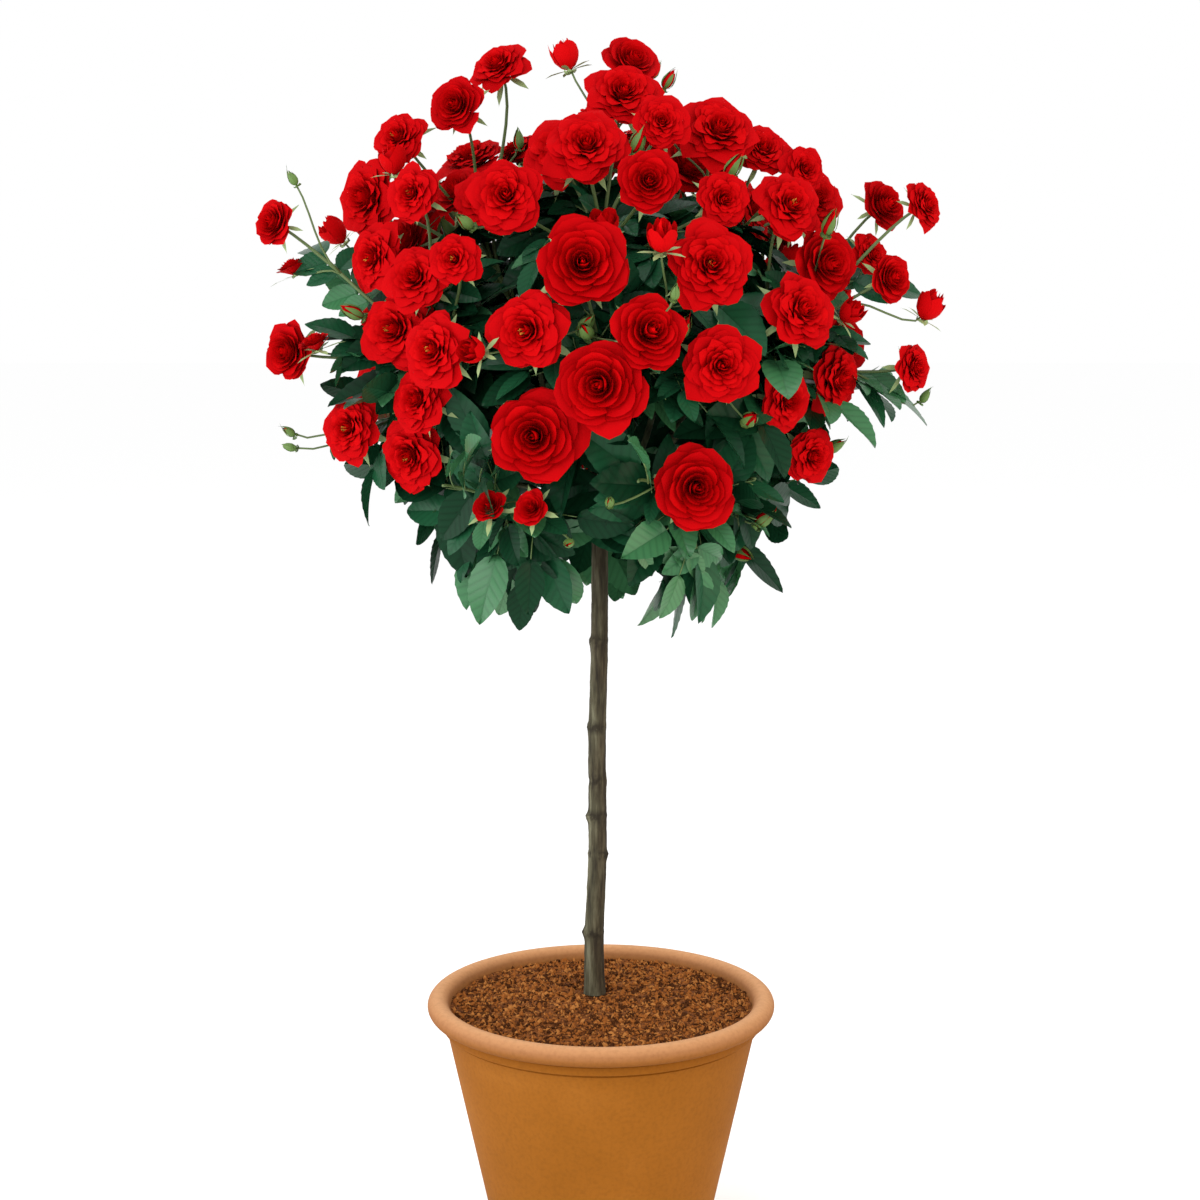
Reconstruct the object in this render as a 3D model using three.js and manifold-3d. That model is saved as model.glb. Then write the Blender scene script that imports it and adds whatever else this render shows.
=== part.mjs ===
// Potted standard rose: a clear woody stem in a terracotta pot, with a round head of dark leaves
// and red blooms.
// Millimetres, +Z up, origin in the middle of the pot's underside. The front of the plant faces -Y.
import * as THREE from 'three';
import { mergeVertices } from 'three/addons/utils/BufferGeometryUtils.js';
import Module from 'manifold-3d';

const wasm = await Module();
wasm.setup();

// Driving dimensions

// Clearance between neighbouring pieces that meet
const GAP = 0.3;

// The shortest edge that fusing may leave, and the nudges that are tried to keep to it
const FUSE = { shortestEdge: 0.008, nudge: 0.05, swing: 2.4, nudges: 16 };

const POT = {
  height: 230, baseRadius: 80, footChamfer: 2.5,
  rimRadius: 140, rimInnerRadius: 123, beadHalfHeight: 7.7,
  neckRadius: 127, collarRadius: 128.6, collarHeight: 9,
  collarStep: 1.5, beadFrom: -0.42, beadSteps: 7,
  wall: 10, floor: 14, floorInset: 6, sides: 36,
  drainHoles: 3, drainRadius: 8, drainCircle: 42, drainSides: 12,
};

const SOIL = {
  edgeDrop: 1.5, moundHeight: 6, rings: [1, 0.8, 0.55], flatShare: 0.3, wallClear: 0.42, sides: 36,
};

const TRUNK = {
  foot: [-5, 8], head: [0, 6], topHeight: 652,
  footRadius: 7.9, headRadius: 6.2, flare: 1.3, flareHeight: 14, flareRings: [0.35, 1, 2],
  unionRadius: 9.2, unionHeight: 34, hubDepth: 12,
  crook: 1.1, crooks: 5, crookBack: 0.6, budScars: [279, 344, 375, 448, 517], scarSwell: 0.9, scarSpan: 5,
  sides: 12, plainRings: 8,
};

// The crown is an egg round the trunk's head.
const CROWN = {
  centreHeight: 765, halfWidth: 218, halfHeight: 215, lowest: 531, coreRadius: 60, seed: 35, seedStep: 77,
};

const BOUGH = { share: 0.4, baseRadius: 3, tipRadius: 2, sides: 5, spans: 4, shoulder: 28 };

const STEM = { share: 0.66, baseRadius: 2.2, tipRadius: 1.8, spans: 1, firstTwig: 0.15, lastTwig: 0.97 };

const TWIG = { baseRadius: 1.8, tipRadius: 1.5, sides: 3, spans: 2, rise: 0.4, nod: 0.3 };

// Tips are the ends of the twigs: open blooms, and leafy shoots lower down.
// Above the shoulder the crown draws in, and below the skirt it spreads, each over a few degrees of latitude.
// Spacings are shares of the two tips' sizes, within one spray and across the wall to the next spray.
const TIP = {
  throws: 2600, shallowest: 0.9, farthest: 1.03, shootRadius: 25, bloomFrom: -14, rareBloom: 0.12,
  shoulder: 30, shoulderReach: 0.92, skirt: -22, skirtReach: 1.08, easing: 18,
  packed: 0.76, sideBySide: 0.7, apart: 0.86, acrossWalls: 1.02,
  lowestSine: -0.86, driftRound: 8, driftDown: 6,
};

// Smallest and largest radius of the blooms, and how they sit: each looks outwards from the middle
// of the crown, more level than steep and a little lifted, and those on the front half turn to the light.
// The back, waist, brim and heart are heights as shares of the depth.
const BLOOM = {
  smallest: 21, largest: 31, depth: 0.78, sides: 6, sunk: 0.3,
  level: 0.65, lift: 0.35, tilt: 0.3, turn: 0.85,
  back: -0.62, waist: -0.32, waistWidth: 0.64, brim: 0.2, heart: 0.38, wave: 0.04,
};

// Sizes of the leaves, how far they keep clear of other growth, how far they reach and hang from the hub,
// and how they lie: forward along the twig, outward from the crown, drooping or lifted, and facing up.
const LEAF = {
  shortest: 74, longest: 104, width: 0.6, widest: 0.42, thickness: 1.6, sunk: 0.4,
  perTwig: 4, firstShare: 0.15, lastShare: 0.95, jitter: 0.7, tries: 12, shrink: 0.04,
  stalk: 0.08, clear: 2, wallClear: 1.5, limbClear: 8, bloomClear: 0.95, aheadOfBloom: 60,
  lowReach: 1.14, topReach: 0.8, shyFrom: 705, shyTo: 855, hang: 164,
  forward: [0.3, 0.8], outward: 0.4, droop: [-0.4, 0.1], faceUp: [0.3, 1.1], tested: [0.3, 0.5, 0.75, 1],
};

// Each tier is a ring of sprays at one latitude of the crown, counted from the front to the right.
const TIERS = [
  { name: 'skirt', latitude: -36, turn: 36, whorl: 612, count: 5 },
  { name: 'middle', latitude: 8, turn: 0, whorl: 628, count: 6 },
  { name: 'upper', latitude: 50, turn: 0, whorl: 642, count: 4 },
  { name: 'crest', latitude: 90, turn: 0, count: 1 },
];

// The main blooms of the front, of the top and of the trusses at the sides:
// azimuth, latitude, share of the egg's reach, radius
const MAIN_BLOOMS = [
  [-4, 19, 1, 33], [24, 17, 1.03, 33], [0, -6, 1, 33], [-16, -17, 0.97, 34], [-16, 6, 0.97, 30],
  [-4, 47, 1, 30], [-24, 33, 1, 28], [46, 7, 1.03, 29], [10, 4, 1, 28], [26, -3, 1, 29],
  [-38, 0, 1, 28], [68, -7, 1, 28], [-80, 30, 1.06, 32], [-64, 19, 1, 26], [48, 54, 1, 31],
  [54, 31, 1, 27], [-72, -20, 1.1, 26], [-60, -24, 0.97, 28], [26, -31, 1, 31], [64, -25, 1, 22],
  [12, 68, 1, 28], [-74, 68, 1.06, 23], [-64, 55, 1.03, 22], [-70, 42, 1.06, 22], [46, 81, 1.03, 23],
  [68, 48, 0.97, 22], [-72, 12, 1.26, 18], [-78, -8, 1.22, 23], [78, 21, 1.14, 20], [72, 15, 1.26, 18],
  [68, 7, 1.14, 19], [76, -11, 1.22, 19], [32, 33, 0.97, 21], [-32, 17, 1, 19], [20, 51, 1, 21],
  [70, 38, 1, 18], [74, 15, 1.06, 17],
];

const COLOURS = {
  terracotta: { color: 0xb4703a, roughness: 0.85 },
  compost: { color: 0x5d3a1c, roughness: 1.0 },
  bark: { color: 0x5c5746, roughness: 0.9 },
  cane: { color: 0x4d5a33, roughness: 0.8 },
  foliage: { color: 0x1f4a36, roughness: 0.55 },
};

const UP = new THREE.Vector3(0, 0, 1);

// Curves that bend by less than this sine count as straight.
const STRAIGHT = 0.05;

// Small helpers

function seeded(seed) {
  let state = seed >>> 0;
  const draw = () => {
    state = (Math.imul(state, 1664525) + 1013904223) >>> 0;
    return state / 4294967296;
  };
  for (let i = 0; i < 5; i += 1) draw();
  return draw;
}

const mix = (a, b, share) => a + (b - a) * share;

const smooth = (share) => share * share * (3 - 2 * share);

function across(vector, along) {
  return vector.clone().addScaledVector(along, -vector.dot(along)).normalize();
}

// A closed three.js geometry as a solid, with shared corners merged and flat-out faces dropped
function solidOf(geometry) {
  const bare = new THREE.BufferGeometry();
  bare.setAttribute('position', geometry.getAttribute('position'));
  bare.setIndex(geometry.getIndex());
  const merged = mergeVertices(bare, 1e-4);
  const corners = merged.getIndex().array;
  const kept = [];
  for (let i = 0; i < corners.length; i += 3) {
    const [a, b, c] = corners.subarray(i, i + 3);
    if (a !== b && b !== c && a !== c) kept.push(a, b, c);
  }
  const vertProperties = merged.getAttribute('position').array;
  return new wasm.Manifold(new wasm.Mesh({ numProp: 3, vertProperties, triVerts: new Uint32Array(kept) }));
}

function geometryOf(solid) {
  const mesh = solid.getMesh();
  const geometry = new THREE.BufferGeometry();
  geometry.setAttribute('position', new THREE.BufferAttribute(mesh.vertProperties, 3));
  geometry.setIndex(new THREE.BufferAttribute(mesh.triVerts, 1));
  geometry.computeVertexNormals();
  return geometry;
}

// The largest body of a fused solid, which fills hollows that the fusing sealed and drops loose scraps
function wholeBody(solid) {
  return solid.decompose().reduce((best, body) => (body.volume() > best.volume() ? body : best));
}

// Whether every edge is long enough and lies between just two faces
function isClean(solid) {
  const { vertProperties, triVerts } = solid.getMesh();
  const corner = (k) => new THREE.Vector3().fromArray(vertProperties, 3 * triVerts[k]);
  const name = (point) => point.toArray().map((value) => value.toFixed(3)).join(' ');
  const faces = new Map();
  for (let i = 0; i < triVerts.length; i += 3) {
    for (let k = 0; k < 3; k += 1) {
      const [from, to] = [corner(i + k), corner(i + ((k + 1) % 3))];
      if (from.distanceTo(to) < FUSE.shortestEdge) return false;
      const edge = [name(from), name(to)].sort().join(' to ');
      faces.set(edge, (faces.get(edge) ?? 0) + 1);
    }
  }
  return [...faces.values()].every((count) => count === 2);
}

// Fuses a piece on, nudged a little round a way where the joint isn't clean, and skips it if no nudge will do
function fuseCleanly(solid, geometry, way) {
  const piece = solidOf(geometry);
  for (let i = 0; i < FUSE.nudges; i += 1) {
    const shift = way.clone().applyAxisAngle(UP, FUSE.swing * i).multiplyScalar(FUSE.nudge * i).toArray();
    const joined = solid.add(piece.translate(shift));
    if (isClean(joined)) return joined;
  }
  return solid;
}

const evenStations = (spans) => Array.from({ length: spans + 1 }, (_, i) => i / spans);

function lathe(profile, sides) {
  const points = profile.map(([radius, height]) => new THREE.Vector2(radius, height));
  return new THREE.LatheGeometry(points, sides).rotateX(Math.PI / 2);
}

// A way square to the bend of a curve, so that the rings of a limb don't twist
function squareToBend(curve) {
  const chord = curve.getPoint(1).sub(curve.getPoint(0)).normalize();
  const bend = curve.getTangent(0).cross(chord);
  if (bend.length() > STRAIGHT) return bend.normalize();
  return Math.abs(chord.z) > 0.9 ? new THREE.Vector3(1, 0, 0) : UP;
}

// A cylinder bent along a curve, with its radius given at each share of the length.
// The stations are the shares at which the rings stand.
function limb(curve, radiusAt, sides, stations) {
  const spans = stations.length - 1;
  const square = squareToBend(curve);
  const geometry = new THREE.CylinderGeometry(1, 1, 1, sides, spans);
  const position = geometry.getAttribute('position');
  for (let i = 0; i < position.count; i += 1) {
    const share = stations[Math.round((position.getY(i) + 0.5) * spans)];
    const along = curve.getTangent(share);
    const side = across(square, along);
    const other = along.clone().cross(side);
    const radius = radiusAt(share);
    const place = curve.getPoint(share)
      .addScaledVector(other, position.getX(i) * radius)
      .addScaledVector(side, position.getZ(i) * radius);
    position.setXYZ(i, place.x, place.y, place.z);
  }
  return geometry;
}

// Pot and soil

const BEAD_HEIGHT = POT.height - POT.beadHalfHeight;
const NECK_HEIGHT = BEAD_HEIGHT - POT.beadHalfHeight;
const FLOOR_RADIUS = POT.baseRadius - POT.floorInset;
const WALL_TOP_RADIUS = POT.neckRadius - POT.wall;

function beadArc(steps) {
  const middle = (POT.rimRadius + POT.rimInnerRadius) / 2;
  const half = (POT.rimRadius - POT.rimInnerRadius) / 2;
  const arc = [];
  for (let i = 0; i <= steps; i += 1) {
    const angle = mix(POT.beadFrom, 1, i / steps) * Math.PI;
    arc.push([middle + half * Math.cos(angle), BEAD_HEIGHT + POT.beadHalfHeight * Math.sin(angle)]);
  }
  return arc;
}

function potSolid() {
  const collarFoot = NECK_HEIGHT - POT.collarHeight;
  const bodyAt = (height) => mix(POT.baseRadius, POT.neckRadius, height / NECK_HEIGHT);
  const body = solidOf(lathe([
    [0, 0],
    [POT.baseRadius - POT.footChamfer, 0],
    [POT.baseRadius, POT.footChamfer],
    [bodyAt(collarFoot), collarFoot],
    [POT.collarRadius, collarFoot + POT.collarStep],
    [POT.collarRadius, NECK_HEIGHT],
    ...beadArc(POT.beadSteps),
    [WALL_TOP_RADIUS, NECK_HEIGHT],
    [FLOOR_RADIUS, POT.floor],
    [0, POT.floor],
  ], POT.sides));
  let drained = body;
  for (let i = 0; i < POT.drainHoles; i += 1) {
    const angle = (i * 2 * Math.PI) / POT.drainHoles;
    const hole = new THREE.CylinderGeometry(POT.drainRadius, POT.drainRadius, POT.floor * 3, POT.drainSides)
      .rotateX(Math.PI / 2)
      .translate(POT.drainCircle * Math.cos(angle), POT.drainCircle * Math.sin(angle), 0);
    drained = drained.subtract(solidOf(hole));
  }
  return drained;
}

const SOIL_EDGE_HEIGHT = BEAD_HEIGHT - SOIL.edgeDrop;
const SOIL_TOP_HEIGHT = SOIL_EDGE_HEIGHT + SOIL.moundHeight;

// The compost fills the pot a clearance inside its wall, and rises to a flat top under the stem.
function soilGeometry() {
  const wallRise = (SOIL_EDGE_HEIGHT - NECK_HEIGHT) / (BEAD_HEIGHT - NECK_HEIGHT);
  const edgeRadius = mix(WALL_TOP_RADIUS, POT.rimInnerRadius, wallRise) - SOIL.wallClear;
  const mound = [...SOIL.rings, SOIL.flatShare].map((share) => [
    edgeRadius * share,
    mix(SOIL_TOP_HEIGHT, SOIL_EDGE_HEIGHT, smooth((share - SOIL.flatShare) / (1 - SOIL.flatShare))),
  ]);
  return lathe([
    [0, POT.floor + GAP],
    [FLOOR_RADIUS - SOIL.wallClear, POT.floor + GAP],
    [WALL_TOP_RADIUS - SOIL.wallClear, NECK_HEIGHT],
    ...mound,
    [0, SOIL_TOP_HEIGHT],
  ], SOIL.sides);
}

// Trunk: lean, crooks at the old buds, flare at the foot and the swollen union at the head

const TRUNK_FOOT_HEIGHT = SOIL_TOP_HEIGHT + GAP;
const UNION_MIDDLE = TRUNK.topHeight - TRUNK.unionHeight / 2;
const HUB = new THREE.Vector3(TRUNK.head[0], TRUNK.head[1], TRUNK.topHeight - TRUNK.hubDepth);

class TrunkLine extends THREE.Curve {
  getPoint(share) {
    const sway = TRUNK.crook * Math.sin(share * TRUNK.crooks * Math.PI) * (1 - share);
    return new THREE.Vector3(
      mix(TRUNK.foot[0], TRUNK.head[0], share) - sway,
      mix(TRUNK.foot[1], TRUNK.head[1], share) + sway * TRUNK.crookBack,
      mix(TRUNK_FOOT_HEIGHT, TRUNK.topHeight, share),
    );
  }

  // Rings stay level, so that the foot is a flat cut.
  getTangent() {
    return UP.clone();
  }
}

function trunkRadius(share) {
  const height = mix(TRUNK_FOOT_HEIGHT, TRUNK.topHeight, share);
  const bump = (middle, span) => Math.max(0, 1 - Math.abs(height - middle) / span);
  const flare = TRUNK.flare * Math.exp(-(height - TRUNK_FOOT_HEIGHT) / TRUNK.flareHeight);
  const scars = TRUNK.budScars.reduce((sum, scar) => sum + TRUNK.scarSwell * bump(scar, TRUNK.scarSpan), 0);
  const union = smooth(bump(UNION_MIDDLE, TRUNK.unionHeight)) * (TRUNK.unionRadius - TRUNK.headRadius);
  return mix(TRUNK.footRadius, TRUNK.headRadius, share) + flare + scars + union;
}

const trunkLine = new TrunkLine();

// Rings stand evenly up the stem, with more in the foot's flare, at every bud scar and where boughs leave it.
function trunkStations() {
  const shareOf = (height) => (height - TRUNK_FOOT_HEIGHT) / (TRUNK.topHeight - TRUNK_FOOT_HEIGHT);
  const flare = TRUNK.flareRings.map((share) => TRUNK_FOOT_HEIGHT + TRUNK.flareHeight * share);
  const scars = TRUNK.budScars.flatMap((scar) => [scar - TRUNK.scarSpan, scar, scar + TRUNK.scarSpan]);
  const union = [UNION_MIDDLE - TRUNK.unionHeight, UNION_MIDDLE];
  const whorls = TIERS.filter((tier) => tier.whorl).map((tier) => tier.whorl);
  const extra = [...flare, ...scars, ...union, ...whorls].map(shareOf);
  return [...evenStations(TRUNK.plainRings), ...extra].sort((a, b) => a - b);
}

// Crown: directions and reach

const CROWN_CENTRE = new THREE.Vector3(HUB.x, HUB.y, CROWN.centreHeight);
const CROWN_HALF = new THREE.Vector3(CROWN.halfWidth, CROWN.halfWidth, CROWN.halfHeight);

// Azimuth 0 is the front and 90 the right-hand side, both angles in degrees.
function direction(azimuth, elevation) {
  const [turn, rise] = [azimuth, elevation].map(THREE.MathUtils.degToRad);
  return new THREE.Vector3(Math.sin(turn) * Math.cos(rise), -Math.cos(turn) * Math.cos(rise), Math.sin(rise));
}

// The way from the hub to the egg's surface at a latitude and azimuth seen from the egg's middle
function wayToEgg(azimuth, latitude) {
  return direction(azimuth, latitude).multiply(CROWN_HALF).add(CROWN_CENTRE).sub(HUB).normalize();
}

function reachAlong(way) {
  const from = HUB.clone().sub(CROWN_CENTRE).divide(CROWN_HALF);
  const step = way.clone().divide(CROWN_HALF);
  const a = step.dot(step);
  const b = from.dot(step);
  const c = from.dot(from) - 1;
  return (Math.sqrt(b * b - a * c) - b) / a;
}

function along(way, length) {
  return HUB.clone().addScaledVector(way, length);
}

const sprays = TIERS.flatMap((tier) => Array.from({ length: tier.count }, (_, i) => {
  const azimuth = tier.turn + (360 * i) / tier.count;
  const axis = wayToEgg(azimuth, tier.latitude);
  const name = tier.count > 1 ? `${tier.name}_${i + 1}` : tier.name;
  return { name, tier, azimuth, axis, stretch: TIP.farthest, reach: reachAlong(axis), tips: [] };
}));

// Boughs: each leaves the trunk's union level, turns up and ends where its spray begins

function boughLine(spray) {
  const tip = along(spray.axis, spray.reach * BOUGH.share);
  if (!spray.tier.whorl) {
    return new THREE.LineCurve3(trunkLine.getPoint(1).addScaledVector(UP, GAP), tip);
  }
  const share = (spray.tier.whorl - TRUNK_FOOT_HEIGHT) / (TRUNK.topHeight - TRUNK_FOOT_HEIGHT);
  const level = direction(spray.azimuth, 0);
  const foot = trunkLine.getPoint(share).addScaledVector(level, trunkRadius(share) + GAP);
  const shoulder = foot.clone().addScaledVector(level, BOUGH.shoulder);
  const before = tip.clone().addScaledVector(spray.axis, -BOUGH.shoulder);
  return new THREE.CubicBezierCurve3(foot, shoulder, before, tip);
}

function boughGeometry(spray) {
  const radiusAt = (share) => mix(BOUGH.baseRadius, BOUGH.tipRadius, share);
  return limb(boughLine(spray), radiusAt, BOUGH.sides, evenStations(BOUGH.spans));
}

const boughPoints = sprays.flatMap((spray) => boughLine(spray).getPoints(12));

// Tips of the twigs, thrown at the crown's surface wherever they find room

function angleBetween(a, b) {
  return Math.acos(Math.min(1, a.dot(b)));
}

// Main blooms may stand closer together within a spray than the others.
function findsRoom(tip, main, tips) {
  return tips.every((other) => {
    const angle = angleBetween(tip.way, other.way) / (tip.spread + other.spread);
    const distance = tip.place.distanceTo(other.place) / (tip.radius + other.radius);
    if (tip.spray !== other.spray) return angle > TIP.acrossWalls;
    return main ? distance > TIP.packed : angle > TIP.sideBySide && distance > TIP.apart;
  });
}

function bloomFace(place, random) {
  const anyWay = () => 2 * random() - 1;
  const sway = new THREE.Vector3(anyWay(), anyWay(), anyWay()).multiplyScalar(BLOOM.tilt);
  const outward = place.clone().sub(CROWN_CENTRE).normalize();
  const inLight = THREE.MathUtils.clamp(1 - 2 * outward.y, 0, 1);
  outward.z = outward.z * BLOOM.level + BLOOM.lift * random();
  outward.y -= BLOOM.turn * inLight;
  return outward.add(sway).normalize();
}

function throwTip(azimuth, latitude, stretch, radius, flowers, main, tips, random) {
  const way = wayToEgg(azimuth, latitude);
  const spray = sprays.reduce((best, other) => (other.axis.dot(way) > best.axis.dot(way) ? other : best));
  const length = reachAlong(way) * stretch - radius;
  const place = along(way, length);
  const tip = { spray, way, flowers, radius, spread: radius / length, place };
  if (!findsRoom(tip, main, tips)) return;
  tip.face = bloomFace(place, random);
  tips.push(tip);
  spray.tips.push(tip);
  spray.stretch = Math.max(spray.stretch, stretch);
}

function throwAnyTip(azimuth, latitude, tips, random) {
  const flowers = latitude > TIP.bloomFrom || random() < TIP.rareBloom;
  const radius = flowers ? mix(BLOOM.smallest, BLOOM.largest, random()) : TIP.shootRadius;
  const above = THREE.MathUtils.smoothstep(latitude, TIP.shoulder, TIP.shoulder + TIP.easing);
  const below = THREE.MathUtils.smoothstep(-latitude, -TIP.skirt, TIP.easing - TIP.skirt);
  const form = mix(1, TIP.shoulderReach, above) * mix(1, TIP.skirtReach, below);
  const stretch = mix(TIP.shallowest, TIP.farthest, random()) * form;
  throwTip(azimuth, latitude, stretch, radius, flowers, false, tips, random);
}

// The main blooms come first, then one tip near the middle of each spray, and the others fall evenly.
function throwTips() {
  const random = seeded(CROWN.seed);
  const tips = [];
  MAIN_BLOOMS.forEach(([azimuth, latitude, stretch, radius]) => {
    throwTip(azimuth, latitude, stretch, radius, true, true, tips, random);
  });
  sprays.forEach((spray) => {
    const azimuth = spray.azimuth + TIP.driftRound * random();
    const latitude = spray.tier.latitude - TIP.driftDown * random();
    throwAnyTip(azimuth, latitude, tips, random);
  });
  for (let i = 0; i < TIP.throws; i += 1) {
    const latitude = THREE.MathUtils.radToDeg(Math.asin(mix(TIP.lowestSine, 1, random())));
    const azimuth = 360 * random();
    throwAnyTip(azimuth, latitude, tips, random);
  }
  return tips;
}

const tips = throwTips();

// A spray keeps to the ways that lie nearest to its own tips, so the walls of its space pass through the hub.
function inOwnSpace(spray, point, margin) {
  const out = point.clone().sub(HUB);
  const own = spray.tips.reduce((best, tip) => (out.dot(tip.way) > out.dot(best.way) ? tip : best));
  return tips.every((tip) => {
    if (tip.spray === spray) return true;
    const wall = own.way.clone().sub(tip.way).normalize();
    return out.dot(wall) > margin;
  });
}

// Growth rule of one spray: its stem, the twigs to its tips, and the leaves along the twigs

function twigLine(start, spray, tip) {
  const end = tip.flowers ? tip.place.clone().addScaledVector(tip.face, -BLOOM.sunk * tip.radius) : tip.place;
  const span = start.distanceTo(end);
  const rise = start.clone().addScaledVector(spray.axis, span * TWIG.rise);
  const nod = end.clone().addScaledVector(tip.face.clone().add(tip.way).normalize(), -span * TWIG.nod);
  return new THREE.CubicBezierCurve3(start, rise, nod, end);
}

// A point on a leaf: share runs from foot to tip, and edge from -1 on one rim to 1 on the other.
function onLeaf(leaf, share, edge) {
  const taper = Math.min(share / LEAF.widest, (1 - share) / (1 - LEAF.widest));
  return leaf.base.clone()
    .addScaledVector(leaf.along, leaf.length * share)
    .addScaledVector(leaf.side, (edge * taper * leaf.length * LEAF.width) / 2);
}

// Whether the straight line between two points passes through a leaf's blade
function pierces(from, to, leaf) {
  const a = from.clone().sub(leaf.base);
  const b = to.clone().sub(leaf.base);
  const above = a.dot(leaf.face);
  const below = b.dot(leaf.face);
  if (above * below >= 0) return false;
  const hit = a.lerp(b, above / (above - below));
  const share = hit.dot(leaf.along) / leaf.length;
  const taper = Math.min(share / LEAF.widest, (1 - share) / (1 - LEAF.widest));
  const half = (taper * leaf.length * LEAF.width) / 2 + LEAF.clear;
  return share > LEAF.stalk && share < 1 + LEAF.stalk && Math.abs(hit.dot(leaf.side)) < half;
}

function crossesLeaf(leaf, other) {
  return leaf.rim.some(([from, to]) => pierces(from, to, other))
    || other.rim.some(([from, to]) => pierces(from, to, leaf));
}

// Leaves reach the outline low in the crown, and higher up they stay behind the blooms.
function leafReach(spray, height) {
  const shy = THREE.MathUtils.smoothstep(height, LEAF.shyFrom, LEAF.shyTo);
  return mix(Math.min(spray.stretch, LEAF.lowReach), LEAF.topReach, shy);
}

function hidesBloom(point, tip) {
  const out = point.clone().sub(tip.place);
  const ahead = out.dot(tip.face);
  const off = out.addScaledVector(tip.face, -ahead).length();
  return tip.flowers && ahead > 0 && ahead < LEAF.aheadOfBloom && off < tip.radius * LEAF.bloomClear;
}

function leafFits(spray, leaf, twigs, leaves) {
  const clearOfAll = leaf.points.every((point) => {
    const out = point.clone().sub(HUB);
    const reach = reachAlong(out.clone().normalize()) * leafReach(spray, point.z);
    return out.length() > CROWN.coreRadius
      && out.length() < Math.max(reach, LEAF.hang)
      && point.z > CROWN.lowest
      && Math.hypot(out.x, out.y) > TRUNK.unionRadius + LEAF.limbClear
      && boughPoints.every((bough) => point.distanceTo(bough) > LEAF.limbClear)
      && spray.tips.every((tip) => !tip.flowers || point.distanceTo(tip.place) > tip.radius * LEAF.bloomClear)
      && !tips.some((tip) => hidesBloom(point, tip))
      && inOwnSpace(spray, point, LEAF.wallClear);
  });
  return clearOfAll
    && !leaves.some((other) => crossesLeaf(leaf, other))
    && !twigs.some(({ joints }) => joints.slice(1).some((to, i) => pierces(joints[i], to, leaf)));
}

function drawLeaf(twig, share, turn, size, random) {
  const span = Math.min(Math.floor(share * TWIG.spans), TWIG.spans - 1);
  const [from, to] = twig.joints.slice(span, span + 2);
  const tangent = to.clone().sub(from).normalize();
  const sideways = across(squareToBend(twig.line), tangent).applyAxisAngle(tangent, turn);
  const way = sideways.addScaledVector(tangent, mix(...LEAF.forward, random()))
    .addScaledVector(twig.tip.way, LEAF.outward)
    .addScaledVector(UP, mix(...LEAF.droop, random()))
    .normalize();
  const face = across(twig.tip.way.clone().addScaledVector(UP, mix(...LEAF.faceUp, random())), way);
  const length = mix(LEAF.shortest, LEAF.longest, random()) * size;
  const base = from.clone().lerp(to, share * TWIG.spans - span);
  const leaf = { base, along: way, face, side: face.clone().cross(way), length };
  const [foot, left, tip, right] = [[0, 0], [LEAF.widest, -1], [1, 0], [LEAF.widest, 1]]
    .map(([part, edge]) => onLeaf(leaf, part, edge));
  leaf.rim = [[foot, left], [left, tip], [tip, right], [right, foot], [foot, tip]];
  leaf.points = LEAF.tested.flatMap((part) => [-1, 0, 1].map((edge) => onLeaf(leaf, part, edge)));
  return leaf;
}

function growLeaves(spray, twig, twigs, leaves, random) {
  const first = Math.floor(random() * TWIG.sides);
  for (let i = 0; i < LEAF.perTwig; i += 1) {
    const share = mix(LEAF.firstShare, LEAF.lastShare, (i + random() * LEAF.jitter) / LEAF.perTwig);
    for (let attempt = 0; attempt < LEAF.tries; attempt += 1) {
      const size = 1 - LEAF.shrink * attempt;
      const turn = ((first + i + attempt + 0.5) * 2 * Math.PI) / TWIG.sides;
      const leaf = drawLeaf(twig, share, turn, size, random);
      if (leafFits(spray, leaf, twigs, leaves)) {
        leaves.push(leaf);
        break;
      }
    }
  }
}

// Twigs to the tips farthest off the axis leave the stem first.
function growSpray(spray, index) {
  const random = seeded(CROWN.seed + CROWN.seedStep * (index + 1));
  const stem = new THREE.LineCurve3(
    along(spray.axis, spray.reach * BOUGH.share + GAP), along(spray.axis, spray.reach * STEM.share));
  const outermost = [...spray.tips].sort((a, b) => a.way.dot(spray.axis) - b.way.dot(spray.axis));
  const twigs = outermost.map((tip, i) => {
    const start = stem.getPoint(mix(STEM.firstTwig, STEM.lastTwig, (i + 0.5) / outermost.length));
    const line = twigLine(start, spray, tip);
    return { tip, line, joints: line.getPoints(TWIG.spans) };
  }).filter((twig) => twig.joints.every((point) => inOwnSpace(spray, point, LEAF.wallClear)));
  const leaves = [];
  twigs.forEach((twig) => growLeaves(spray, twig, twigs, leaves, random));
  return { stem, twigs, leaves };
}

// Solids of one leaf and one bloom

// A leaf is a thin kite folded along its rib, and its foot goes through the middle of the twig.
function leafGeometry({ base, along: way, face, side, length }) {
  const geometry = new THREE.TetrahedronGeometry();
  const position = geometry.getAttribute('position');
  for (let i = 0; i < position.count; i += 1) {
    const onRib = position.getZ(i) > 0;
    const share = onRib ? Math.sign(position.getX(i)) / 2 + 0.5 : LEAF.widest;
    const edge = onRib ? 0 : -Math.sign(position.getY(i));
    const place = base.clone()
      .addScaledVector(way, share * length - LEAF.sunk)
      .addScaledVector(side, (edge * length * LEAF.width) / 2)
      .addScaledVector(face, onRib ? 0 : LEAF.thickness);
    position.setXYZ(i, place.x, place.y, place.z);
  }
  return geometry;
}

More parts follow.
